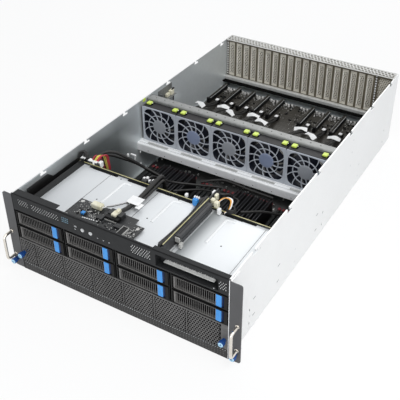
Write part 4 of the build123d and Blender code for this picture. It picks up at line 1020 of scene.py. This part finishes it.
def rear_wall():
    """The stepped rear wall: the outer plate with the supply mouths and ports, the dividers between the
    supplies, the ledge, the card wall with its openings, the perforated flange and the card rail."""
    mouths = [(x - 37.15, x + 37.15, 1.4, 42.4) for x in supply_places]
    ports = [(x - 8, x + 8, 12, 25.5) for x in (112, 132)]
    dividers = around(-214 + SUPPLY_PITCH * np.arange(SUPPLIES + 1), 0.5, 215, 398.6, 1.3, 43.2)
    parts = [
        cut_plate((-218.6, 218.6, 1.3, 63.9), mouths + ports, (398.8, 400)),
        blocks([(-218.7, 218.7, COVER_FACE, 400, 62.8, 64)], 0.3),
        blocks(dividers + [(-214, 90, 215, 398.6, 42, 43.2)], 0.2),
    ]
    put("rear_plates", parts, "galvanised_steel", slot="galvanised_steel", stands_for=["rear_panel"])
    windows = [(x - 5.6, x + 5.6, 81, 162) for x in cover_places]
    wall = cut_plate((-218.6, 218.6, 64, 173), windows, (COVER_FACE, COVER_FACE + 1.2))
    # painted shade: the card wall's galvanised sheet is given the dark olive copy
    put("card_wall", [wall], "olive_zinc", slot="galvanised_steel")
    upright, upright_faces = honeycomb((-217, 370), (217, 397.5), 8.4, 2.6, (0, 0.9))
    flat = upright[:, (0, 2, 1)] + (0, 0, 173.4)
    faces = [group[:, ::-1] for group in upright_faces]
    border = [(-218.6, 218.6, 368, 371), (-218.6, 218.6, 396.5, 400)]
    border += [(-218.6, -215, 371, 396.5), (215, 218.6, 371, 396.5)]
    border = blocks([(*sides, 173.3, 174.5) for sides in border], 0.3)
    put("top_flange", [(flat, faces), border], "flange_zinc", slot="galvanised_steel")
    put("flange_shade", [blocks([(-217, 217, 370, 397, 171.4, 172)], 0.1)], "olive_zinc")
    rail = folded_sheet([(365.6, 64.8), (365.6, 74.4), (374.4, 74.4), (374.4, 64.8)], 2.6, 7, 1.1, 218.4)
    put("card_rail", [rail], "flange_zinc", slot="galvanised_steel", crease=30)
    # painted shadow: a black strip in front of the card rail's foot
    put("rail_painted_shadow", [blocks([(-218.2, 218.2, 352, 364.8, 64.2, 66.4)], 0.3)], "bay_black")
    strip_places = (-216.6, 175.6)
    strips = [(x - 1, x + 4.2, 374.3, 374.9, 75, 173) for x in strip_places]
    put("wall_strips", [blocks(strips, 0.2)], "deep_olive")
    side_panel = honeycomb((182, 80), (214, 166), 5.4, 1.9, (COVER_FACE - 0.85, COVER_FACE - 0.1))
    put("side_panel", [side_panel], "cover_steel", slot="cover_steel")
    levels = np.arange(78, 171, 6.4)
    pips = [(x, x + 3.2, 373.2, 374.4, z, z + 3) for x in strip_places for z in levels]
    put("wall_pips", [blocks(pips, 0.2)], "white_tag")


def card_covers():
    """Each cover is a sheet of staggered six-sided holes between plain edges."""
    parts = []
    face = COVER_FACE - 0.05
    cells = honeycomb((-6.3, -40), (6.3, 40), 5.4, 1.9, (COVER_FACE - 0.85, COVER_FACE - 0.1))
    upright = [(-7.2, -5.4, face - 0.85, face, -45.5, 45.5), (5.4, 7.2, face - 0.85, face, -45.5, 45.5)]
    level = [(-7.2, 7.2, face - 0.9, face, 38.5, 45.5), (-7.2, 7.2, face - 0.9, face, -45.5, -38.5)]
    rim = blocks(upright + level, 0.2)
    for x in cover_places:
        parts += [moved(cells, (x, 0, 121.5)), moved(rim, (x, 0, 121.5))]
    put("card_covers", parts, "cover_steel", slot="cover_steel", stands_for=["slot_covers"])
    shade = around(cover_places, 5, COVER_FACE + 1.3, COVER_FACE + 1.7, 79, 164)
    put("cover_shade", [blocks(shade, 0.1)], "deep_olive")


def supply_fronts():
    """What shows of each supply from behind: a fan grille of rings and bars, the inlet with its pins, the
    release latch and a small lamp."""
    for k, x in enumerate(supply_places, start=1):
        fan = (x - 18.4, 400.3, 21.6)
        wires = [hoop(fan, (radius, 0, 0), (0, 0, radius), 0.55, 6) for radius in (4.5, 8.5, 12.5, 16.2)]
        for turn in np.radians((45, 135)):
            ends = [(s * math.cos(turn), 0, s * math.sin(turn)) for s in (-16, 16)]
            wires.append(moved(tube(ends, 0.55, 6, level=(0, 1, 0)), fan))
        places = [(x + across, z) for across, z in ((11.9, 20.5), (24.9, 20.5), (18.4, 25))]
        pins = [(c - 1, c + 1, 387.5, 396, z - 2.2, z + 2.2) for c, z in places]
        well = blocks([(x + 6, x + 31, 386.3, 387.6, 13, 30.5)], 0.5)
        latch = blocks([(x + 27.6, x + 36.9, 400, 409.6, 30.2, 41.2)], 1.2)
        rows = (
            ("grille", wires, "bright_bar", "supply_steel", (), 60),
            ("pins", [blocks(pins, 0.4)], "solder_silver", "bright_bar"),
            ("well", [well], "black_plastic", "black_plastic"),
            ("latch", [latch], "knob_blue", "blue_plastic"),
            ("lamp", [blocks([(x + 24, x + 26.4, 399.9, 400.5, 35, 37.4)], 0.5)], "lime_plastic"),
        )
        for stem, parts, finish, *rest in rows:
            put(f"supply_{stem}_{k}", parts, finish, f"supply_{k}", *rest)


# Boards and cables

SLOTS = [-202 + 2 * COVER_PITCH * k for k in (0, 1, 2, 3, 4, 6, 7, 8)]
CONTROL_TOP = 146.1
SWITCH_TOP = 52.2
CAGE_TOP = 141


def scattered(seed, count, low, high, base, sizes, heights, clear=()):
    """Small boxes spread over an area of a board, kept out of the clear areas. Places and sizes come from
    a seeded generator, and each box is turned to lie along x or y."""
    draw = np.random.default_rng(seed)
    x = draw.uniform(low[0], high[0], count)
    y = draw.uniform(low[1], high[1], count)
    wide = draw.uniform(*sizes, (count, 2)) * np.where(draw.random((count, 1)) < 0.5, (1, 0.55), (0.55, 1))
    tall = draw.uniform(*heights, count)
    keep = np.ones(count, bool)
    for x0, x1, y0, y1 in clear:
        keep &= ~((x > x0 - 2) & (x < x1 + 2) & (y > y0 - 2) & (y < y1 + 2))
    half, deep = wide.T / 2
    rows = np.stack((x - half, x + half, y - deep, y + deep, 0 * x + base, base + tall), -1)
    return blocks(rows[keep], 0.12)


def control_parts():
    """The control board behind the front strip: rows of small parts, plated rings round its holes, a
    black socket with a pale plug, a cream connector with its wires and the folded white label round the
    lead."""
    y, top = FRONT, CONTROL_TOP
    clear = [(-57, -29, 50, 76), (-98, -76, 64, 80), (-14, -3, 26, 50), (-102, -92, 40, 50)]
    clear = [(x0, x1, y + y0, y + y1) for x0, x1, y0, y1 in clear]

    def spread(seed, count, x0, y0, x1, y1, sizes, heights):
        return scattered(seed, count, (x0, y + y0), (x1, y + y1), top, sizes, heights, clear)

    pale = [
        spread(3, 46, -116, 40, -62, 62, (1.6, 3.6), (0.7, 1.4)),
        spread(5, 30, -60, 24, 12, 50, (1.4, 3), (0.6, 1.2)),
        spread(8, 22, -2, 28, 14, 62, (2, 4.2), (0.8, 1.8)),
        spread(9, 20, -126, 62, -100, 77, (1.4, 2.6), (0.5, 1.1)),
    ]
    dark = [
        spread(13, 26, -112, 38, -60, 66, (2.4, 5.5), (0.9, 1.9)),
        spread(17, 16, -54, 22, 8, 46, (2, 5), (0.8, 1.6)),
    ]
    put("control_chips", pale, "chip_pale")
    put("control_darks", dark, "chip_black")
    rims = [
        (-14.6, -13.9, 26.4, 49.6),
        (-3.1, -2.4, 26.4, 49.6),
        (-14.6, -2.4, 26.4, 27.1),
        (-14.6, -2.4, 48.9, 49.6),
    ]
    parts = [moved(blocks([(*rim, top, top + 4.2) for rim in rims], 0.1), (0, y, 0))]
    pads = ((-122, 74, 3.6), (-125, 30, 3), (9, 58, 3.2), (2, 26, 3.4), (-45, 26, 2.6), (-101, 26, 3))
    for x, depth, size in pads:
        ring = [(-0.05, size), (0.12, size), (0.12, 0.5 * size)]
        parts.append(turned(ring, (x, y + depth, top), 20, axis="z"))
    pins = [(x, x + 0.9, y + 50.4, y + 51.9, top, top + 2) for x in np.arange(-56, -30, 2)]
    put("control_pads", parts + [blocks(pins, 0.1)], "solder_silver")
    row = [(x, x + 3, 46.28 + 0.12 * x, 48.48 + 0.12 * x, top, top + 1) for x in np.arange(-94, -62, 4.4)]
    sockets = [
        (-57, -29, 52, 74, top, top + 7),
        (-14, -3, 27, 49, top, top + 3.5),
        (-70, -60, 46, 54, top, top + 2.6),
    ]
    plug = [(-47, -37, 57, 70, top + 7, top + 12), (-43.5, -36.5, 66, 75, top + 7, top + 14.5)]
    label = [
        (-49, -23, 104, 126, 153, 153.7),
        (-49, -48.3, 104, 126, 143, 153.6),
        (-27, -17, 99, 115, 150.6, 151.3),
    ]
    set_blocks([
        ("control_sockets", "chip_black", 0.6, sockets),
        ("control_row", "white_tag", 0.15, row),
        ("control_cream", "cream_plastic", 1.4, [(-97.5, -75.5, 65.5, 77.5, top, top + 9.8)]),
        ("control_blue", "blue_plastic", 0.8, [(-101.5, -94, 41, 48, top, top + 5)]),
        ("control_plug", "cream_plastic", 0.9, plug),
        ("lead_label", "white_tag", 0.25, label),
    ])
    wires = []
    for n in range(4):
        start = (-78, 74.5 - 2.2 * n, top + 4)
        route = [start, (-66, 80 + 2 * n, 150.5), (-54, 99 + 1.5 * n, 148.6), (-42, 112, 150.4)]
        wires.append(strand(route, 0.95, 8, count=7))
    put("control_wires", wires[::2], "cable_black", slot="cable_black", crease=60)
    put("control_pale_wires", wires[1::2], "white_tag", crease=60)


def strand(points, radius, bend=10, flat=1, count=8):
    """A tube through points whose y is counted from the front plane, with its corners rounded."""
    return tube(rounded_route([(x, FRONT + d, z) for x, d, z in points], bend), radius, count, flat)


# the leads that cross the drive cage and drop behind it, and the wires beside the left wall: each has a
# radius, a bend and the points that it passes
LEADS = [
    (4.1, 14, [(-42, 75.5, 151), (-38, 100, 147.5), (-36, 140, 150), (-36, 204, 158), (-36, 204, 60)]),
    (2.6, 10, [(-36, 112, 146), (-29.5, 140, 148), (-28.5, 196, 154), (-26, 207, 90)]),
    (2.2, 10, [(-41.5, 118, 145.6), (-42.5, 150, 147), (-44, 194, 152), (-46, 206, 90)]),
    (3.2, 22, [(-196, 186, 147), (-180, 232, 150), (-150, 262, 118), (-120, 300, 70)]),
    (2.8, 22, [(-204, 188, 146), (-192, 240, 132), (-150, 275, 104), (-96, 296, 72)]),
    (2.4, 18, [(-60, 186, 146), (-66, 210, 140), (-60, 262, 96), (20, 330, 70)]),
    (2.6, 18, [(-30, 330, 66), (10, 352, 74), (70, 356, 66), (120, 362, 60)]),
    (2, 18, [(-20, 212, 120), (10, 262, 104), (30, 312, 70), (-8, 360, 56)]),
    (2.6, 18, [(126, 208, 128), (150, 250, 112), (186, 300, 80), (196, 352, 60)]),
    (2.2, 18, [(104, 212, 120), (96, 262, 108), (60, 300, 80), (52, 356, 50)]),
    (2, 7, [(83, 196, 163), (98, 196, 165), (104, 212, 158), (104, 212, 70)]),
]


def card_cables():
    """Three strands rise from each cable socket, bend to the rear and run down to the power socket."""
    strands = []
    for k, x in enumerate(SLOTS):
        x += 22
        lean = 4 * math.sin(2.1 * k)
        for side in (-1, 0, 1):
            route = [
                (x + 4.1 * side, 480, SWITCH_TOP + 10),
                (x + 4.1 * side, 480, SWITCH_TOP + 36 - 1.5 * abs(side)),
                (x + 5 * side + lean, 566, SWITCH_TOP + 35 + side),
                (x + 4.4 * side - 0.5 * lean, 634, SWITCH_TOP + 9 + 3 * (side == 0)),
                (x + 2.6 * side, 661, SWITCH_TOP + 6),
            ]
            strands.append(strand(route, 2.25, 15))
    return strands


def cable_runs():
    """Every cable inside the server, and the plugs at the ends of the card cables."""
    leads = [strand(points, radius, bend) for radius, bend, points in LEADS]
    runs = leads[:-1] + card_cables() + leads[-1:]
    put("cable_runs", runs, "cable_black", slot="cable_black", stands_for=["cables"], crease=60)
    places, top = [x + 22 for x in SLOTS], SWITCH_TOP
    plugs = around(places, 6.4, 474, 486, top + 9, top + 21)
    plugs += around(places, 5, 655, 664.8, top + 1, top + 11.5)
    set_blocks([("cable_plugs", "black_plastic", 0.8, plugs)])


def cable_labels():
    """A folded paper label hangs on each card cable: a strip that sags between its ends, turned a little
    differently on every cable."""
    parts = []
    for k, x in enumerate(SLOTS):
        depth, height = ((577, 90.5), (617, 74.5))[k % 2]
        turn = math.radians((-24, 12, -32, 8, -12, 20, -28, 6)[k])
        along = np.linspace(-15, 15, 9)
        sag = 2 * np.cos(along / 6)
        run, rise = along * math.cos(turn), along * math.sin(turn)
        middle = np.stack((x + 22 + run, FRONT + depth + rise, height + sag), -1)
        wide = (5 + 1.3 * np.sin(along / 5 + k))[:, None]
        across = np.array((-math.sin(turn), math.cos(turn), 0.25)) * wide
        lift = np.array((0, 0, 0.35))
        under, over = middle - lift, middle + lift
        parts.append(skin(np.stack((under - across, under + across, over + across, over - across), 1)))
    put("cable_labels", parts, "white_tag")


def riser_parts():
    """The riser card's bright edge, contacts and small parts, its sleeve, and connectors at its rear."""
    chips = (
        (72, 5, 158, 5), (84, 8, 156, 6), (98, 6, 157, 7), (112, 9, 155, 8),
        (130, 6, 158, 5), (142, 10, 156, 7), (36, 7, 155, 6), (48, 5, 158, 4),
    )
    edges = [(81.1, 82.9, 25, 172, 166.85, 167.3), (81.1, 82.9, 172, 205, 152.9, 153.3)]
    clips = [(83.2, 92.4, 58, 64.8, 150, 160), (78, 81, 62, 68, 156, 164), (92.9, 98, 54, 62, 142.5, 152)]
    pale = [(79.4, 81.1, y, y + wide, z, z + tall) for y, wide, z, tall in chips]
    dark = [(78.4, 81.1, y, y + 6, 150, 157) for y in (40, 60, 78, 92, 106, 122, 150)]
    tips = [(x, x + 2.5, 172, 176, 156, 159.5) for x in (50.5, 54.7, 58.9)]
    cream = [(83, 91, 174, 182, 150, 164), (92, 101, 170, 179, 151, 163), (84, 90, 186, 195, 153, 166)]
    white = [(101.5, 108, 165, 172, 143, 155), (74.5, 80.5, 194, 203, 152, 164)]
    set_blocks([
        ("riser_edge", "board_edge", 0.1, edges),
        ("riser_groove", "chip_black", 0.05, [(87.2, 88.6, 66, 159, 162.9, 163.15)]),
        ("riser_clips", "solder_silver", 0.6, clips),
        ("riser_chips", "white_tag", 0.3, pale),
        ("riser_darks", "chip_black", 0.4, dark),
        ("cage_blue_plug", "blue_plastic", 1, [(50, 60, 167, 175, 142, 156)]),
        ("cage_plug_tips", "white_tag", 0.4, tips),
        ("riser_plugs", "cream_plastic", 1.4, cream),
        ("riser_pale_plugs", "white_tag", 1, white),
    ])
    thick = [(64, 40, 145.8), (70, 74, 147), (72, 140, 149.5), (66, 196, 152), (58, 208, 120)]
    thin = [(60, 46, 144.6), (63, 80, 145), (65, 146, 146.5), (60, 192, 150), (52, 207, 118)]
    sleeve = [strand(thick, 3.6, 16, count=10), strand(thin, 2.4, 16)]
    put("riser_sleeve", sleeve, "cable_black", slot="cable_black", crease=60)
    loops = []
    for n in range(4):
        over = [(104 + n, 186 + 1.2 * n, 168 - 0.3 * n), (117 + n, 190 + n, 165), (118 + 0.8 * n, 182, 150)]
        loops.append(strand([(97, 176, 160), *over, (112, 174, 143.5)], 0.9, 9))
    put("riser_orange_wires", loops[:2], "orange_wire", crease=60)
    put("riser_white_wires", loops[2:], "white_tag", crease=60)
    coil = [hoop((121, FRONT + 182, 147 + 2.4 * n), (9 - n, 0, 0), (0, 6.5, 0), 1.3, 8) for n in range(3)]
    put("cage_coil", coil, "cable_black", slot="cable_black", crease=60)


def backplane_parts():
    """The backplane's bare edge above the drive cage, its pale headers, the coloured wires at the left,
    and the gaps, holes and pressed beads of the cage's lid, whose white is a painted highlight."""
    top = CAGE_TOP
    heads = around((-207, -189, -178), 5, 178.4, 186.6, 144, 151.5)
    for x, step in ((-66, 1), (-60, 3), (-53, 0), (-46, 2), (-40, 1)):
        heads.append((x - 2.2, x + 2.2, 182 + step, 187 + step, 143, 150 + step))
    heads += [(-171, -164.5, 181, 190, 140, 152), (26, 31, 180, 186, 143, 150)]
    set_blocks([
        ("backplane_edge", "board_edge", 0.1, [(-213, 213, 176.1, 177.8, 144.9, 145.35)]),
        ("backplane_heads", "white_tag", 0.6, heads),
    ])
    gaps = [(x, x + 58, 172, 175.9, top + 0.05, top + 0.3) for x in (-186, -96, -8, 118)]
    gaps += [(x, x + 0.7, 22, 172, top, top + 0.2) for x in (-134, -24.3, 85.4, 195.1)]
    holes = ((-109, 96), (-109, 170), (1.4, 96), (20, 170), (150, 96), (172, 30))
    parts = [turned([(0, 1.5), (0.2, 1.3)], (x, FRONT + y, top), 12, axis="z") for x, y in holes]
    put("cage_gaps", [moved(blocks(gaps, 0.05), (0, FRONT, 0))] + parts, "chip_black")
    beads = []
    for x in -96 + BAY_PITCH * np.arange(3):
        bend = [(x, 91, top + 0.3), (x, 163, top + 0.3), (x + 16, 163, top + 0.3)]
        beads.append(strand(bend, 3, 5, 0.4, 12))
    # the beads are pressed in the lid's zinc; their white is a painted highlight
    put("cage_beads", beads, "bead_white", slot="galvanised_steel", crease=60)
    wires = []
    for n in range(6):
        rise = [(-186 + 2.4 * n, 184, 151), (-184 + 2.4 * n, 190 + n, 159)]
        fall = [(-180 + 2.2 * n, 200 + 2 * n, 154), (-176 + 2 * n, 206 + n, 120)]
        wires.append(strand(rise + fall, 1, 6))
    put("red_wires", [wires[n] for n in (0, 4, 5)], "red_wire", crease=60)
    put("yellow_wires", wires[2:4], "yellow_wire", crease=60)
    dark = []
    for n in range(4):
        rise = [(-207 + 3 * n, 184, 151), (-209 + 3 * n, 188, 161 - n)]
        fall = [(-214 + n, 182 + 3 * n, 163), (-215.5, 176 + 3 * n, 150)]
        dark.append(strand(rise + fall, 1.5, 6))
    put("wall_bundle", dark + [wires[1]], "cable_black", slot="cable_black", crease=60)


def processor_parts():
    """Latches on the memory modules, the coolers' clips and the small parts that show below."""
    modules = [group + 9.4 * (n - 1.5) for group in (-152, -26, 26, 152) for n in range(4)]
    coolers = (-89, 89)
    reds = around(modules, 2.6, 352, 359, 40, 45.5)
    for x in coolers:
        reds += around(x + np.arange(-36, 37, 9), 2.4, 343.4, 347, 56, 61)
    bars = around([x + side for x in coolers for side in (-30, 30)], 1.5, 262, 322, 62, 64.6)
    hook = [
        (-165, -152, 276, 279, 118, 121),
        (-157, -154, 277, 279, 96, 119),
        (-170, -166, 270, 274, 116, 122),
    ]
    set_blocks([
        ("memory_latches", "maroon_plastic", 0.5, reds),
        ("memory_tips", "pale_mark", 0.3, around(modules, 0.8, 340, 350, 42, 43.4)),
        ("cooler_clips", "chip_black", 0.4, bars + around(coolers, 24, 284, 292, 62, 64)),
        ("bay_clip", "white_tag", 0.6, hook),
    ])
    parts = [
        scattered(21, 60, (-200, FRONT + 362), (200, FRONT + 430), 9.7, (2, 6), (1.5, 6)),
        scattered(23, 40, (-205, FRONT + 200), (205, FRONT + 222), 9.7, (2, 5), (1, 3)),
    ]
    put("main_board_chips", parts, "solder_silver")


def switch_parts():
    """The switch board: a pale line along each card slot, retaining latches, small parts round the slots'
    rear ends and the white clips on the power sockets."""
    top = SWITCH_TOP
    lines = [(x + 3.2, x + 3.9, 657, 741, top + 11.1, top + 11.5) for x in SLOTS]
    lines += [(x - 10.5, x - 9.9, 660, 735, top + 0.1, top + 0.4) for x in SLOTS]
    clips = [(x + 17.5, x + 26, 655, 664, top + 8, top + 12.6) for x in SLOTS]
    set_blocks([
        ("slot_bodies", "black_plastic", 0.5, around(SLOTS, 3.85, 655.6, 745.1, top, top + 11.05)),
        ("slot_lines", "pale_mark", 0.1, lines),
        ("socket_clips", "white_tag", 1.2, clips),
        ("slot_latches", "black_plastic", 0.7, around(SLOTS, 3.9, 650, 655.6, top, top + 14)),
    ])
    # seed, count, limits in x from the slot and in y, sizes and heights of the parts beside each slot
    kinds = (
        (31, 14, (5, 33), (722, 744), (1.8, 4.4), (0.8, 3.4)),
        (91, 30, (6, 34), (560, 722), (0.9, 2.4), (0.4, 1)),
        (51, 6, (8, 30), (676, 718), (0.9, 1.8), (0.4, 0.8)),
        (71, 12, (8, 33), (672, 742), (2.5, 6.5), (1, 4)),
    )
    parts, cans = [], []
    for k, x in enumerate(SLOTS + [1.2]):
        for seed, count, xs, ys, sizes, heights in kinds:
            low, high = zip((x + xs[0], x + xs[1]), (FRONT + ys[0], FRONT + ys[1]))
            parts.append(scattered(seed + k, count, low, high, top, sizes, heights))
        for n in range(3):
            place = (x + 11 + 8 * n, FRONT + 738 - 3 * (n % 2), top)
            cans.append(turned([(0, 2.6), (5.5, 2.6), (6, 2.1)], place, 14, axis="z"))
    put("switch_chips", [part for n, part in enumerate(parts) if n % 4 < 3], "chip_pale")
    put("switch_darks", parts[3::4], "chip_black")
    put("switch_cans", cans, "solder_silver", crease=40)


def wall_marks():
    """Fixings that show on the outer walls: short slots and pressed rivets, set by depth and height on
    the right wall and mirrored on the left."""
    right = [(219.95, 220.12, y - 4.5, y + 4.5, z - 0.8, z + 0.8) for y in (87, 181, 350) for z in (28, 66)]
    slots = moved(blocks(right, 0.04), (0, FRONT, 0))
    put("wall_slots", [slots, mirrored(slots)], "dull_zinc")
    dots = []
    places = (
        (72, 36), (252, 50), (252, 20), (582, 50), (582, 20),
        (522, 144), (522, 114), (522, 81), (100, 164), (23, 163),
    )
    for y, z in places:
        dot = turned([(0, 2.2), (0.25, 1.9), (0.3, 0.8)], (220, FRONT + y, z), 14, axis="x")
        dots += [dot, mirrored(dot)]
    put("wall_rivets", dots, "galvanised_steel", slot="galvanised_steel", crease=30)
    set_blocks([("wall_tab", "lime_plastic", 0.3, [(-218.55, -216.9, 402, 410, 166.5, 174.3)])])


# Camera, floor and light


def aim_camera():
    """A long lens from the front right, looking down at the open top, as the photograph is taken."""
    azimuth, elevation, roll = np.radians((29.9, 34.21, 0.35))
    level = math.cos(elevation)
    back = Vector((math.sin(azimuth) * level, -math.cos(azimuth) * level, math.sin(elevation)))
    right = Vector((0, 0, 1)).cross(back).normalized()
    up = back.cross(right)
    turned_right = right * math.cos(roll) + up * math.sin(roll)
    turned_up = up * math.cos(roll) - right * math.sin(roll)
    turn = Matrix((turned_right, turned_up, back)).transposed().to_4x4()
    lens = bpy.data.cameras.new("camera")
    lens.sensor_width = 36
    lens.lens = 64.29
    lens.shift_x = -0.0352
    lens.shift_y = -0.0703
    camera = bpy.data.objects.new("camera", lens)
    camera.matrix_world = Matrix.Translation((0.5937, -1.10046, 0.91004)) @ turn
    bpy.context.scene.collection.objects.link(camera)
    bpy.context.scene.camera = camera


def lay_floor():
    """A wide pale floor, slightly worn, that shows white and keeps a soft shadow of the server."""
    size = 30
    mesh = bpy.data.meshes.new("floor")
    level = -0.0006
    corners = [(-size, -size, level), (size, -size, level), (size, size, level), (-size, size, level)]
    mesh.from_pydata(corners, [], [(0, 1, 2, 3)])
    floor = bpy.data.objects.new("floor", mesh)
    bpy.context.scene.collection.objects.link(floor)
    pale = Finish("pale_floor", specular_ior_level=0.1)
    pale.paint(pale.blend(pale.noise(3), (0.84, 0.84, 0.84), (0.88, 0.88, 0.88)), 0.9)
    glow = pale.node("ShaderNodeEmission", None, {"Strength": 1})
    lit = Wire(pale, pale.shader.outputs[0])
    pale.show(0.86 * pale.seen_directly(), lit, glow, "Material Output")
    mesh.materials.append(pale.material)


def light_studio():
    """A pale room, a broad soft lamp above on the right and weaker ones in front and behind."""
    world = bpy.data.worlds.new("studio")
    bpy.context.scene.world = world
    world.use_nodes = True
    room = Nodes(world.node_tree)
    glow = {"Color": (0.9, 0.94, 1, 1), "Strength": 0.5}
    air = room.node("ShaderNodeBackground", None, glow)
    backdrop = room.node("ShaderNodeBackground", None, {"Color": (1, 1, 1, 1), "Strength": 1})
    room.show(room.seen_directly(), air, backdrop, "World Output")
    lamps = (
        ("key_lamp", (1.3, -0.6, 2.2), (0, 0, 0.05), 1.6, 36),
        ("front_lamp", (0.4, -2.2, 0.9), (0, -0.2, 0.05), 1.4, 16),
        ("rear_lamp", (-0.6, 2, 1.6), (0, 0.2, 0.1), 1.2, 12),
    )
    for name, place, target, size, power in lamps:
        data = bpy.data.lights.new(name, "AREA")
        data.shape = "DISK"
        data.size = size
        data.energy = power
        lamp = bpy.data.objects.new(name, data)
        aim = Vector(target) - Vector(place)
        lamp.matrix_world = Matrix.Translation(place) @ aim.to_track_quat("-Z", "Y").to_matrix().to_4x4()
        bpy.context.scene.collection.objects.link(lamp)
    bpy.context.scene.view_settings.view_transform = "Standard"


aim_camera()
lay_floor()
light_studio()
grille_sheet()
strip_sheet()
thumbscrews()
pull_handles()
caddy_fronts()
fan_modules()
fan_rotors()
fan_wall()
rear_wall()
card_covers()
supply_fronts()
control_parts()
cable_runs()
cable_labels()
riser_parts()
backplane_parts()
processor_parts()
switch_parts()
wall_marks()
